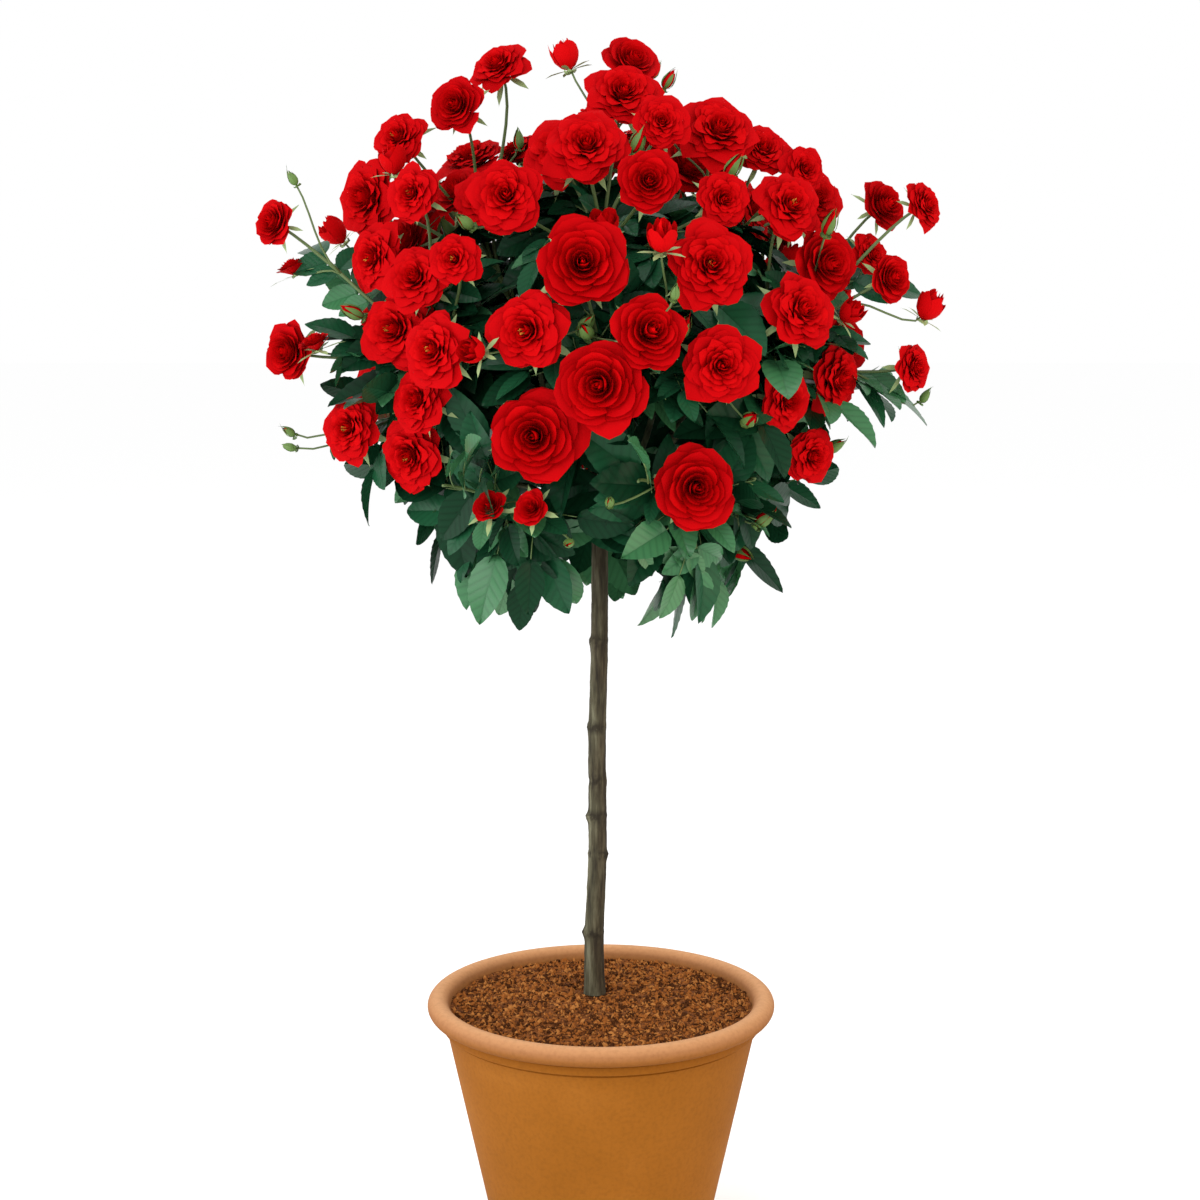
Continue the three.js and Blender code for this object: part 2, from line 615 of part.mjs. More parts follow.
// A bloom is a cupped rosette with a wavy brim and a raised heart.
function bloomGeometry({ place, face, radius }) {
  const depth = radius * BLOOM.depth;
  const geometry = lathe([
    [0, BLOOM.back * depth],
    [BLOOM.waistWidth * radius, BLOOM.waist * depth],
    [radius, BLOOM.brim * depth],
    [0, BLOOM.heart * depth],
  ], BLOOM.sides);
  const position = geometry.getAttribute('position');
  for (let i = 0; i < position.count; i += 1) {
    const turn = Math.atan2(position.getY(i), position.getX(i));
    const wave = 1 + BLOOM.wave * (Math.cos((turn * BLOOM.sides) / 2 + radius) - 1);
    position.setXYZ(i, position.getX(i) * wave, position.getY(i) * wave, position.getZ(i));
  }
  geometry.applyQuaternion(new THREE.Quaternion().setFromUnitVectors(UP, face));
  return geometry.translate(place.x, place.y, place.z);
}

function foliageSolid(spray, index) {
  const { stem, twigs, leaves } = growSpray(spray, index);
  const stemRadius = (share) => mix(STEM.baseRadius, STEM.tipRadius, share);
  const twigRadius = (share) => mix(TWIG.baseRadius, TWIG.tipRadius, share);
  let fused = solidOf(limb(stem, stemRadius, TWIG.sides, evenStations(STEM.spans)));
  twigs.forEach((twig) => {
    fused = fuseCleanly(fused, limb(twig.line, twigRadius, TWIG.sides, evenStations(TWIG.spans)), spray.axis);
    if (twig.tip.flowers) fused = fuseCleanly(fused, bloomGeometry(twig.tip), twig.tip.way);
  });
  leaves.forEach((leaf) => {
    fused = fuseCleanly(fused, leafGeometry(leaf), leaf.along);
  });
  return wholeBody(fused);
}

// Assembly

const rose = new THREE.Group();
rose.name = 'potted_standard_rose';

function addPiece(name, geometry, finish) {
  const material = new THREE.MeshStandardMaterial({ ...COLOURS[finish], metalness: 0 });
  const mesh = new THREE.Mesh(geometry, material);
  mesh.name = name;
  rose.add(mesh);
}

addPiece('pot', geometryOf(potSolid()), 'terracotta');
addPiece('soil', geometryOf(solidOf(soilGeometry())), 'compost');
addPiece('trunk', limb(trunkLine, trunkRadius, TRUNK.sides, trunkStations()), 'bark');
sprays.forEach((spray, index) => {
  addPiece(`bough_${spray.name}`, boughGeometry(spray), 'cane');
  addPiece(`foliage_${spray.name}`, geometryOf(foliageSolid(spray, index)), 'foliage');
});

export default rose;
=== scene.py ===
"""Potted standard rose for Blender 4.5: the looks of the pot, compost, stem, twigs, leaves and blooms.

The crown grows by the same seeded rule as the part's source, in millimetres, and is carried on here
to compound leaves, bud stalks, petals and sepals. Every mesh is stored in metres.
"""
import math
from types import SimpleNamespace as Thing

import bpy
import numpy as np
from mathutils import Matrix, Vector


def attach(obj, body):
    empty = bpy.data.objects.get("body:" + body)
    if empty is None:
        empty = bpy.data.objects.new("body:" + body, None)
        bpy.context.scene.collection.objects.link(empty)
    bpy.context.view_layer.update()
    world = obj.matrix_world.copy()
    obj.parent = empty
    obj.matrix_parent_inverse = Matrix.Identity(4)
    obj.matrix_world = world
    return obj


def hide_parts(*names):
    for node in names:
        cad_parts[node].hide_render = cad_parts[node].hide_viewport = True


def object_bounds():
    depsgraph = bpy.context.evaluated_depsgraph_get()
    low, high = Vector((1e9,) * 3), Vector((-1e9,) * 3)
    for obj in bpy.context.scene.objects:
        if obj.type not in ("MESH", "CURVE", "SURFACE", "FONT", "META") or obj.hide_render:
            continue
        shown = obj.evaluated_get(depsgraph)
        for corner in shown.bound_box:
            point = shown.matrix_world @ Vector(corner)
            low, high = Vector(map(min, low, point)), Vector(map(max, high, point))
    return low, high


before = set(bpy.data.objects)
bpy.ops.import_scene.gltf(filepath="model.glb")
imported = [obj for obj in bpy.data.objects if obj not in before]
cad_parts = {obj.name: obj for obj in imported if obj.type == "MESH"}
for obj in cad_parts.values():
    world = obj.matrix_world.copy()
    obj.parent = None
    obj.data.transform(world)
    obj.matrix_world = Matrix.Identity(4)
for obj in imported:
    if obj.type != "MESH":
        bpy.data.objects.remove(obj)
cad_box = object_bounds()

MM = 0.001

# Driving dimensions of the source, in millimetres, degrees or shares

GAP = 0.3
STREAM = Thing(factor=1664525, step=1013904223, size=2**32, skipped=5)
POT = Thing(
    height=230, base_radius=80, foot_chamfer=2.5, rim_radius=140, rim_inner_radius=123, bead_half_height=7.7,
    neck_radius=127, collar_radius=128.6, collar_height=9, wall=10, floor=14, floor_inset=6, bead_from=-0.42,
    drain_holes=3, drain_radius=8, drain_circle=42,
)
SOIL = Thing(edge_drop=1.5, mound=6, flat_share=0.3)
TRUNK = Thing(
    foot=(-5, 8), head=(0, 6), top=652, foot_radius=7.9, head_radius=6.2, flare=1.3, flare_height=14,
    union_radius=9.2, union_height=34, hub_depth=12, crook=1.1, crooks=5, crook_back=0.6,
    scars=(279, 344, 375, 448, 517), scar_swell=0.9, scar_span=5,
)
CROWN = Thing(middle=765, half_width=218, half_height=215, lowest=531, core=60, seed=35, seed_step=77)
BOUGH = Thing(share=0.4, base_radius=3, tip_radius=2, shoulder=28, tested=13)
STEM = Thing(share=0.66, first_twig=0.15, last_twig=0.97)
TWIG = Thing(sides=3, spans=2, rise=0.4, nod=0.3)
TIP = Thing(
    throws=2600, shallowest=0.9, farthest=1.03, shoot_radius=25, bloom_from=-14, rare_bloom=0.12,
    shoulder=30, shoulder_reach=0.92, skirt=-22, skirt_reach=1.08, easing=18,
    packed=0.76, side_by_side=0.7, apart=0.86, across_walls=1.02,
    lowest_sine=-0.86, drift_round=8, drift_down=6,
)
BLOOM = Thing(smallest=21, largest=31, sunk=0.3, level=0.65, lift=0.35, tilt=0.3, turn=0.85)
LEAF = Thing(
    shortest=74, longest=104, width=0.6, widest=0.42, per_twig=4, first=0.15, last=0.95, jitter=0.7,
    tries=12, shrink=0.04, stalk=0.08, clear=2, wall_clear=1.5, limb_clear=8, bloom_clear=0.95,
    ahead_of_bloom=60, low_reach=1.14, top_reach=0.8, shy_from=705, shy_to=855, hang=164,
    forward=(0.3, 0.8), outward=0.4, droop=(-0.4, 0.1), face_up=(0.3, 1.1), tested=(0.3, 0.5, 0.75, 1),
)

# Each tier: name, latitude, turn, whorl height on the trunk (None at the top), number of sprays
TIERS = (
    ("skirt", -36, 36, 612, 5),
    ("middle", 8, 0, 628, 6),
    ("upper", 50, 0, 642, 4),
    ("crest", 90, 0, None, 1),
)

# The main blooms of the front, of the top and of the trusses at the sides:
# azimuth, latitude, share of the egg's reach, radius
MAIN_BLOOMS = (
    (-4, 19, 1, 33), (24, 17, 1.03, 33), (0, -6, 1, 33), (-16, -17, 0.97, 34), (-16, 6, 0.97, 30),
    (-4, 47, 1, 30), (-24, 33, 1, 28), (46, 7, 1.03, 29), (10, 4, 1, 28), (26, -3, 1, 29),
    (-38, 0, 1, 28), (68, -7, 1, 28), (-80, 30, 1.06, 32), (-64, 19, 1, 26), (48, 54, 1, 31),
    (54, 31, 1, 27), (-72, -20, 1.1, 26), (-60, -24, 0.97, 28), (26, -31, 1, 31), (64, -25, 1, 22),
    (12, 68, 1, 28), (-74, 68, 1.06, 23), (-64, 55, 1.03, 22), (-70, 42, 1.06, 22), (46, 81, 1.03, 23),
    (68, 48, 0.97, 22), (-72, 12, 1.26, 18), (-78, -8, 1.22, 23), (78, 21, 1.14, 20), (72, 15, 1.26, 18),
    (68, 7, 1.14, 19), (76, -11, 1.22, 19), (32, 33, 0.97, 21), (-32, 17, 1, 19), (20, 51, 1, 21),
    (70, 38, 1, 18), (74, 15, 1.06, 17),
)

# Sizes of the finer growth, in millimetres, degrees, or shares of the rule's leaf or bloom

FINE_SEED = 14
STEM_RADII = (2.2, 1.8)
TWIG_RADII = (1.6, 1.1)
RACHIS = Thing(share=0.52, droop=0.16, droops=(0.4, 1.5), points=5, radii=(0.75, 0.45))
# Leaflets of one leaf: share along the rachis, length as a share of the rule's leaf, angle off the rachis
LEAFLETS = ((0.34, 0.45, 66), (0.34, 0.45, -66), (0.72, 0.53, 58), (0.72, 0.53, -58), (1.0, 0.60, 0))
# Low leaves show three broad leaflets, turned outwards and dealt a little lighter, painted light on the low
# leaves that the lamps leave dim
SKIRT_LEAFLETS = ((0.5, 0.50, 62), (0.5, 0.50, -62), (1.0, 0.63, 0))
SKIRT_FACING = 0.7
SKIRT_LIGHT = 0.04
LEAFLET = Thing(
    width=0.6, widths=(0.9, 1.08), lengths=(0.88, 1.1), young=0.8, sway=9, roll=24, nods=(-0.15, 0.2),
    tested=(0.3, 0.65, 1), teeth=8, tooth=0.72, notch=0.98, point=1.02, belly=0.82, fullness=0.72,
    folds=(0.12, 0.5), arches=(0.02, 0.26), pleat=0.003, wave=0.02, waves=5,
)
# Leaves are dealt a shade by a draw that rises towards the outside, so that painted shade darkens the leaves
# inside the crown and painted light brightens those outside; each shade ends at a draw
SHADE_RISE = 1.1
SHADE_MIDDLE = 0.82
SHADE_ENDS = {"leaf_dark": 0.3, "leaf_deep": 0.68, "leaf_mid": 1.06, "leaf_pale": math.inf}
# Leaves added to each twig by tier: near its foot, which fill the crown, and near its tip, which show outside
ADDED_LEAVES = {"skirt": (4, 0), "middle": (4, 2), "upper": (3, 1), "crest": (3, 1)}
FOOT_SHARES = (0.05, 0.5)
TIP_SHARES = (0.5, 0.95)
INNER_LEAF = Thing(lengths=(66, 100), lean=0.4)
# Twigs that stretch this far bear a truss, with leaves of its own
TRUSS_FROM = 1.1
TRUSS_LEAF = Thing(lengths=(56, 76), lean=1.6, shares=(0.35, 0.7), tries=10, count=2)
ADDED_LEAF = Thing(step=0.05, outward=(0.2, 0.7), droop=(-0.4, 0.2), face_up=(0.3, 1.1))
# Tips of the outermost leaves that the photo shows: azimuth, latitude and stretch
FAR_LEAVES = (
    (82, -18, 1.26), (68, -22, 1.15), (-74, -40, 1.24), (-62, -60, 1.25), (-40, -60, 1.35),
    (-14, -60, 1.2), (36, -60, 1.3), (72, -54, 1.2),
)
# They leave their twigs about this far from their tips, at one of the steps between two shares of the twig
FAR_LEAF = Thing(span=88, shares=(0.1, 0.95), steps=24)
# Low leaves part in front of the trunk, below its top, and stand off it all round
FRONT_GAP = Thing(half_width=15, height=606)
LOW_STEM = Thing(clear=36, height=604)
# Share of a main bloom's radius that leaves keep off on the photo's side
SHOWN_CLEAR = 0.75
# Buds stand beside and ahead of a twig's tip, and lean to the tip's face, its way, sideways, up and at random
BUD = Thing(
    stalk_radii=(0.9, 0.75), stalk_points=7, bend=0.35, stalk_from=(0.55, 0.8), beside=(1.1, 1.5),
    ahead=(-0.9, 0.3), lean=(0.6, 0.5, 0.5, 0.4, 0.2), radii=(9, 12.5), small_radii=(12, 17),
    bloom_clear=0.8, trunk_clear=1.5,
)
# Shares of the twigs that bear none, one, two or three buds, and of the stages that the buds are at
BUDS_BY_BLOOM = (0.34, 0.34, 0.22, 0.10)
BUDS_BY_SHOOT = (0.40, 0.34, 0.20, 0.06)
BUD_SHARES = {"green": 0.34, "slit": 0.32, "opening": 0.2, "small": 0.14}
# Buds that the photo shows: azimuth, latitude, stretch and stage
MAIN_BUDS = (
    (-22, 72, 1, "opening"), (-70, 20, 1.2, "green"), (-80, 8, 1.15, "small"), (-92, 10, 1.05, "green"),
    (-100, 18, 1.05, "opening"), (-70, -4, 1.1, "small"), (-78, -24, 1.25, "green"), (-90, -28, 1.3, "green"),
    (74, -2, 1.2, "opening"), (82, -18, 1.24, "green"), (58, 22, 1, "slit"), (52, -42, 1, "slit"),
    (-30, -36, 1, "small"), (-18, -36, 1, "small"), (12, 18, 1, "opening"), (14, 8, 1, "green"),
    (-64, 36, 1, "opening"), (2, -34, 1, "green"), (-8, -44, 1.1, "green"),
)
MAIN_BUD = Thing(
    radii={"green": 8, "slit": 11, "opening": 11, "small": 14}, stalk_from=0.6, lean=(0.7, 0.5, 0.2),
)

# Flowers

# Each ring: kind, petals, half span in degrees, middle and end of its profile as radius and height,
# and the curl of the rim
OPEN_BLOOM = (
    ("petal_red", 5, 42, (0.58, 0.00), (0.98, -0.12), 0.6),
    ("petal_red", 5, 42, (0.58, 0.06), (0.95, 0.00), 0.6),
    ("petal_red", 6, 37, (0.54, 0.12), (0.84, 0.08), 0.5),
    ("petal_red", 7, 33, (0.48, 0.18), (0.72, 0.15), 0.5),
    ("petal_bright", 7, 33, (0.42, 0.23), (0.60, 0.21), 0.4),
    ("petal_bright", 7, 33, (0.34, 0.27), (0.47, 0.26), 0.3),
    ("petal_bright", 6, 37, (0.26, 0.29), (0.35, 0.30), 0.2),
    ("petal_bright", 5, 44, (0.18, 0.28), (0.23, 0.33), 0.1),
    ("petal_lit_heart", 4, 52, (0.13, 0.24), (0.12, 0.35), 0.0),
    ("petal_lit_heart", 3, 70, (0.07, 0.28), (0.04, 0.37), 0.0),
)
BLOWN_BLOOM = (*OPEN_BLOOM, ("stamen", 9, 5, (0.04, 0.16), (0.05, 0.36), 0.0))
CUPPED_BLOOM = (
    ("petal_red", 5, 45, (0.68, -0.10), (0.98, 0.00), 0.6),
    ("petal_red", 5, 44, (0.68, 0.00), (0.92, 0.12), 0.5),
    ("petal_red", 5, 44, (0.62, 0.10), (0.78, 0.22), 0.4),
    ("petal_bright", 5, 44, (0.54, 0.18), (0.64, 0.30), 0.3),
    ("petal_bright", 5, 45, (0.45, 0.24), (0.50, 0.36), 0.25),
    ("petal_bright", 5, 47, (0.34, 0.28), (0.36, 0.40), 0.15),
    ("petal_bright", 4, 57, (0.23, 0.28), (0.22, 0.42), 0.0),
    ("petal_lit_heart", 3, 78, (0.14, 0.28), (0.11, 0.44), 0.0),
    ("petal_lit_heart", 3, 78, (0.07, 0.32), (0.03, 0.46), 0.0),
)
CALYX = (
    ("sepal", 6, 34, (0.24, -0.62), (0.22, -0.40), 0.0),
    ("sepal", 5, 11, (0.62, -0.58), (1.02, -0.72), 0.9),
)
BUD_FORMS = {
    "green": (
        ("petal_lit_heart", 4, 50, (0.62, -0.1), (0.06, 0.86), 0.0),
        ("bud_green", 5, 40, (0.80, -0.1), (0.05, 1.15), 0.0),
        ("bud_green", 6, 34, (0.34, -0.80), (0.40, -0.45), 0.0),
    ),
    "slit": (
        ("petal_red", 5, 46, (0.78, 0.0), (0.10, 1.25), 0.0),
        ("petal_lit_heart", 4, 60, (0.5, 0.1), (0.05, 1.2), 0.0),
        ("bud_green", 5, 24, (0.92, -0.1), (0.20, 1.35), 0.0),
        ("bud_green", 6, 34, (0.36, -0.80), (0.42, -0.45), 0.0),
    ),
    "opening": (
        ("petal_bright", 5, 48, (1.15, 0.0), (0.92, 1.35), 0.3),
        ("petal_red", 5, 50, (0.92, 0.1), (0.55, 1.5), 0.1),
        ("petal_lit_heart", 4, 66, (0.6, 0.2), (0.24, 1.5), 0.0),
        ("sepal", 5, 13, (0.95, -0.35), (1.75, -0.35), 0.8),
        ("sepal", 6, 34, (0.40, -0.85), (0.46, -0.45), 0.0),
    ),
    "small": (
        *CUPPED_BLOOM[1:],
        ("sepal", 6, 34, (0.28, -0.62), (0.28, -0.40), 0.0),
        ("sepal", 5, 12, (0.80, -0.45), (1.55, -0.42), 0.8),
    ),
}
# Draws below the first end give blown blooms, those below the second open ones, and the rest cupped ones
BLOOM_FORM_ENDS = (0.25, 0.75)
# Shape of a petal, as shares of the bloom's radius or of its own length, and how uneven the petals are.
# Petals below the narrow half span, in degrees, are plain strips
PETAL = Thing(
    foot=(0.07, -0.46), rows=5, columns=7, narrow=20, foot_width=0.6, heart_shift=0.12,
    point=0.18, point_power=1.5, lean=0.10, rounding=0.22, rounding_power=2.2, ragged=0.04,
    lengths=(0.84, 1.02), spans=(0.85, 1.12), sway=0.22, spiral=0.025, curl_from=0.62, curl_out=0.08,
    curl_down=0.12, cup=(-0.08, 0.07), frill=0.035, frills=2.2, lift=0.045,
)

# Fineness and relief of the pot, the compost, the bark and the limbs: counts, millimetres or degrees

# The pot's fine section: a rounded foot, the wall's rings, and a groove on either side of the collar
POT_MESH = Thing(
    sides=128, drain_sides=24, drill_depth=42, foot_steps=4, wall_from=20, wall_to=2, wall_rings=9, smooth=35,
    groove=1.2, groove_width=1.2, collar_edge=(0.5, 0.7), collar_from=1.6, collar_to=2, bead_steps=24,
)
# The bed of compost: its rings and lumps
BED = Thing(
    sides=144, rings=44, middle=2, depth=20, foot_inset=5, smooth=60,
    lump=9, lump_depth=3, lump_level=0.62, lump_height=4.5,
)
# Crumbs of each shade, and fibres among them, with their sizes and how they stretch and tilt.
# Those that would lie in the trunk are moved off it, by a factor and a step
CRUMB_COUNTS = {"crumb_dark": 2176, "crumb_brown": 2816, "crumb_tan": 1408}
CRUMB = Thing(
    sizes=(0.7, 2.3), small_power=2.2, edge=1.5, trunk_clear=2, moved=(4, 20), stretch=(0.5, 1.5),
    uneven=(0.8, 1.2), tilt=0.7,
)
FIBRE = Thing(count=260, size=1.3, slim=0.35, stretch=(2.2, 5.0), tilt=0.3)
OCTAHEDRON = np.array([(1, 0, 0), (0, 1, 0), (-1, 0, 0), (0, -1, 0), (0, 0, 1), (0, 0, -1)], dtype=float)
OCTAHEDRON_FACES = np.array([(i, (i + 1) % 4, 4) for i in range(4)] + [((i + 1) % 4, i, 5) for i in range(4)])
# Ridges and fine ripples each have waves round the trunk, waves up it and phases
BARK = Thing(
    rings=150, sides=32, smooth=60, relief=0.45, ridges=(5, 0.16, (0.3, 1.9, 4.4, 2.7)), fine_share=0.25,
    fine=(3, 0.9, (1.1, 3.8, 5.2)), scar_relief=0.3, scar_lip=1.3, scar_groove=(3.2, 1.2, 0.7),
    knob_drop=1, knob_height=5.0, knob_width=0.6, far_side=1.2, flat_end=0.01,
)
# Each further wave of a ripple is this much closer, round and along, and out of step
RIPPLE = Thing(round=0.83, along=0.61, phase=1.7)
BOUGH_BARK = Thing(rings=18, sides=10, relief=0.07, round=2, along=1.3, phases=(1.3, 2.2))
# Knobs of old buds: height, azimuth in degrees and how far they stand out
KNOBS = ((279, 275, 1.7), (344, 60, 1.1), (375, 285, 1.7), (404, 80, 0.8), (448, 250, 1.0), (517, 250, 1.2))
# Reach of the dark marks round the knobs, and the distance within which they are darkest
KNOB_MARK = (7, 1.75)
STEM_POINTS = 4
TWIG_POINTS = 12
TWIG_TUBE_SIDES = 6
STALK_TUBE_SIDES = 4

# Colours

# Plain colours of the small joined pieces: red, green, blue, roughness, shine
PLAIN_COLOURS = {
    # The two lighter petal colours go mostly to the inner rings and hearts: painted light against the shade
    # there
    "petal_bright": (0.47, 0.0008, 0.002, 0.7, 0.03),
    "petal_red": (0.42, 0.0005, 0.002, 0.7, 0.03),
    "petal_lit_heart": (0.60, 0.001, 0.002, 0.7, 0.03),
    "sepal": (0.26, 0.35, 0.15, 0.55, 0.2),
    "bud_green": (0.095, 0.17, 0.04, 0.5, 0.25),
    "stamen": (0.75, 0.42, 0.06, 0.7, 0.2),
    "twig": (0.085, 0.13, 0.04, 0.5, 0.35),
    "leaf_stalk": (0.10, 0.16, 0.05, 0.5, 0.35),
    "crumb_dark": (0.060, 0.018, 0.004, 0.95, 0.1),
    "crumb_brown": (0.28, 0.090, 0.018, 0.95, 0.1),
    "crumb_tan": (0.40, 0.155, 0.038, 0.95, 0.1),
}
# Leaf colours: blade, sunken veins and shine; the dark ones, dealt mostly inside the crown, are painted shade
LEAF_COLOURS = {
    "leaf_dark": ((0.004, 0.030, 0.012), (0.003, 0.023, 0.009), 0.08),
    "leaf_deep": ((0.010, 0.066, 0.027), (0.008, 0.054, 0.022), 0.12),
    "leaf_mid": ((0.040, 0.150, 0.060), (0.032, 0.122, 0.049), 0.26),
    "leaf_pale": ((0.058, 0.168, 0.070), (0.046, 0.136, 0.056), 0.30),
}
LEAF_ROUGHNESS = 0.30
# Side veins along a blade and their slant, how sharp they and the midrib are, and how deep they lie
VEIN = Thing(count=7, slant=0.55, sharp=3.5, soft=0.4, midrib_sharp=22, strength=0.14, depth=0.5)
# How far below the neck the clay is darkened by painted shade under the bead, and how far below and above it
# the body turns to the bead
SHADE_UNDER_BEAD = 22.5
BEAD_BLEND = (1.5, 0.5)
# Painted shade: how much of the bark turns browner and darker for each metre to the right, away from the
# light
PAINTED_SHADE_TO_THE_RIGHT = 22

# Stage

CAMERA = Thing(place=(-0.0008, -1.750, 0.8013), pitch=8.15, lens=67.25, sensor=36, far=100)
# Each lamp: name, place, where it points, size, power in watts and tint
LAMPS = (
    ("key", (-0.9, -2.5, 1.7), (0, 0, 0.65), 1.4, 28, (1, 1, 1)),
    ("fill", (2.0, -1.3, 0.9), (0, 0, 0.4), 1.6, 20, (1, 0.86, 0.58)),
    ("side", (-2.2, -0.8, 0.8), (0, 0, 0.3), 1.5, 24, (1, 1, 1)),
    ("top", (0.1, 0.2, 2.6), (0, 0, 0.7), 1.6, 14, (1, 1, 1)),
)
BACKDROP_STRENGTH = 1.0
FLOOR_SIZE = 40
FLOOR_COLOUR = (0.99, 0.99, 0.99)

# Ways and limits

UP = np.array((0.0, 0.0, 1.0))
RIGHT = np.array((1.0, 0.0, 0.0))
# Bends below the first count as straight, and ways that rise beyond the second as steep
STRAIGHT = 0.05
STEEP = 0.9
# Once round, in radians
ROUND = 2 * math.pi

# Heights, radii and places that follow from the driving dimensions

BEAD_HEIGHT = POT.height - POT.bead_half_height
NECK_HEIGHT = BEAD_HEIGHT - POT.bead_half_height
WALL_TOP_RADIUS = POT.neck_radius - POT.wall
SOIL_EDGE_HEIGHT = BEAD_HEIGHT - SOIL.edge_drop
SOIL_TOP_HEIGHT = SOIL_EDGE_HEIGHT + SOIL.mound
TRUNK_FOOT_HEIGHT = SOIL_TOP_HEIGHT + GAP
UNION_MIDDLE = TRUNK.top - TRUNK.union_height / 2
UNION_CLEAR = TRUNK.union_radius + LEAF.limb_clear
HUB = np.array((*TRUNK.head, TRUNK.top - TRUNK.hub_depth), dtype=float)
CROWN_CENTRE = np.array((HUB[0], HUB[1], CROWN.middle))
CROWN_HALF = np.array((CROWN.half_width, CROWN.half_width, CROWN.half_height), dtype=float)
CROWN_BOX = np.array([list(corner) for corner in cad_box]) / MM


# Small helpers

def seeded(seed):
    """The source's stream of numbers from 0 to 1."""
    state = seed

    def draw():
        nonlocal state
        state = (state * STREAM.factor + STREAM.step) % STREAM.size
        return state / STREAM.size

    for _ in range(STREAM.skipped):
        draw()
    return draw


def mix(a, b, share):
    return a + (b - a) * share


def smooth(share):
    return share * share * (3 - 2 * share)


def unit(vector):
    return vector / np.linalg.norm(vector, axis=-1, keepdims=True)


def dot(a, b):
    return np.sum(a * b, axis=-1)


def column(things, name):
    """One property of many things, as an array."""
    return np.array([getattr(thing, name) for thing in things])


def across(vector, along):
    """The part of a vector square to another, at length one."""
    return unit(vector - along * np.expand_dims(dot(vector, along), -1))


def turned(vector, axis, angle):
    """A vector turned about an axis by an angle in radians."""
    swung = vector * math.cos(angle) + np.cross(axis, vector) * math.sin(angle)
    return swung + axis * np.dot(axis, vector) * (1 - math.cos(angle))


def leaning(shares, ways):
    """One way made of several, each with its share."""
    return unit(sum(way * share for share, way in zip(shares, ways)))


def bezier(corners, shares):
    """Points of a cubic curve at the given shares of its length."""
    t = np.asarray(shares, dtype=float)[:, None]
    a, b, c, d = corners
    return a * (1 - t) ** 3 + b * 3 * t * (1 - t) ** 2 + c * 3 * t**2 * (1 - t) + d * t**3


def tapered(curve, radii, count):
    """Points along a curve, and a radius at each."""
    return bezier(curve, np.linspace(0, 1, count)), np.linspace(*radii, count)


# Growth rule: directions, reach and limbs, as in the source

def direction(azimuth, elevation):
    turn = math.radians(azimuth)
    rise = math.radians(elevation)
    return np.array((math.sin(turn) * math.cos(rise), -math.cos(turn) * math.cos(rise), math.sin(rise)))


def way_to_egg(azimuth, latitude):
    return unit(direction(azimuth, latitude) * CROWN_HALF + CROWN_CENTRE - HUB)


def reach_along(way):
    """How far the egg reaches from the hub along one way or many."""
    start = (HUB - CROWN_CENTRE) / CROWN_HALF
    step = way / CROWN_HALF
    a = dot(step, step)
    b = dot(start, step)
    c = dot(start, start) - 1
    return (np.sqrt(b * b - a * c) - b) / a


def trunk_point(share):
    sway = TRUNK.crook * math.sin(share * TRUNK.crooks * math.pi) * (1 - share)
    return np.array((
        mix(TRUNK.foot[0], TRUNK.head[0], share) - sway,
        mix(TRUNK.foot[1], TRUNK.head[1], share) + sway * TRUNK.crook_back,
        mix(TRUNK_FOOT_HEIGHT, TRUNK.top, share),
    ))


def trunk_share(height):
    return (height - TRUNK_FOOT_HEIGHT) / (TRUNK.top - TRUNK_FOOT_HEIGHT)


def trunk_radius(share):
    height = mix(TRUNK_FOOT_HEIGHT, TRUNK.top, share)

    def bump(middle, span):
        return max(0.0, 1 - abs(height - middle) / span)

    flare = TRUNK.flare * math.exp(-(height - TRUNK_FOOT_HEIGHT) / TRUNK.flare_height)
    scars = sum(TRUNK.scar_swell * bump(scar, TRUNK.scar_span) for scar in TRUNK.scars)
    union = smooth(bump(UNION_MIDDLE, TRUNK.union_height)) * (TRUNK.union_radius - TRUNK.head_radius)
    return mix(TRUNK.foot_radius, TRUNK.head_radius, share) + flare + scars + union


def make_sprays():
    sprays = []
    for tier, latitude, turn, whorl, count in TIERS:
        for i in range(count):
            azimuth = turn + 360 * i / count
            axis = way_to_egg(azimuth, latitude)
            sprays.append(Thing(
                name=f"{tier}_{i + 1}" if count > 1 else tier, tier=tier, azimuth=azimuth, latitude=latitude,
                whorl=whorl, axis=axis, stretch=TIP.farthest, reach=reach_along(axis), tips=[]))
    return sprays


def bough_curve(spray):
    """The four corners of a bough's curve, from the trunk's union to where its spray begins."""
    tip = HUB + spray.axis * spray.reach * BOUGH.share
    if spray.whorl is None:
        foot = trunk_point(1) + UP * GAP
        return foot, mix(foot, tip, 1 / 3), mix(foot, tip, 2 / 3), tip
    share = trunk_share(spray.whorl)
    level = direction(spray.azimuth, 0)
    foot = trunk_point(share) + level * (trunk_radius(share) + GAP)
    return foot, foot + level * BOUGH.shoulder, tip - spray.axis * BOUGH.shoulder, tip


# Growth rule: tips thrown at the crown's surface wherever they find room

def finds_room(tip, tips):
    """Main blooms may stand closer together within a spray than the others."""
    for other in tips:
        angle = math.acos(min(1, np.dot(tip.way, other.way))) / (tip.spread + other.spread)
        if tip.spray is not other.spray:
            if angle <= TIP.across_walls:
                return False
            continue
        distance = math.dist(tip.place, other.place) / (tip.radius + other.radius)
        near = TIP.packed if tip.main else TIP.apart
        if distance <= near or (not tip.main and angle <= TIP.side_by_side):
            return False
    return True


def bloom_face(place, random):
    """Blooms look outwards and a little up, and those on the front half turn to the light there."""
    sway = np.array((random() - 0.5, random() - 0.5, random() - 0.5)) * 2 * BLOOM.tilt
    outward = unit(place - CROWN_CENTRE)
    in_light = min(max(1 - 2 * outward[1], 0), 1)
    lift = outward[2] * BLOOM.level + BLOOM.lift * random()
    return unit(np.array((outward[0], outward[1] - BLOOM.turn * in_light, lift)) + sway)


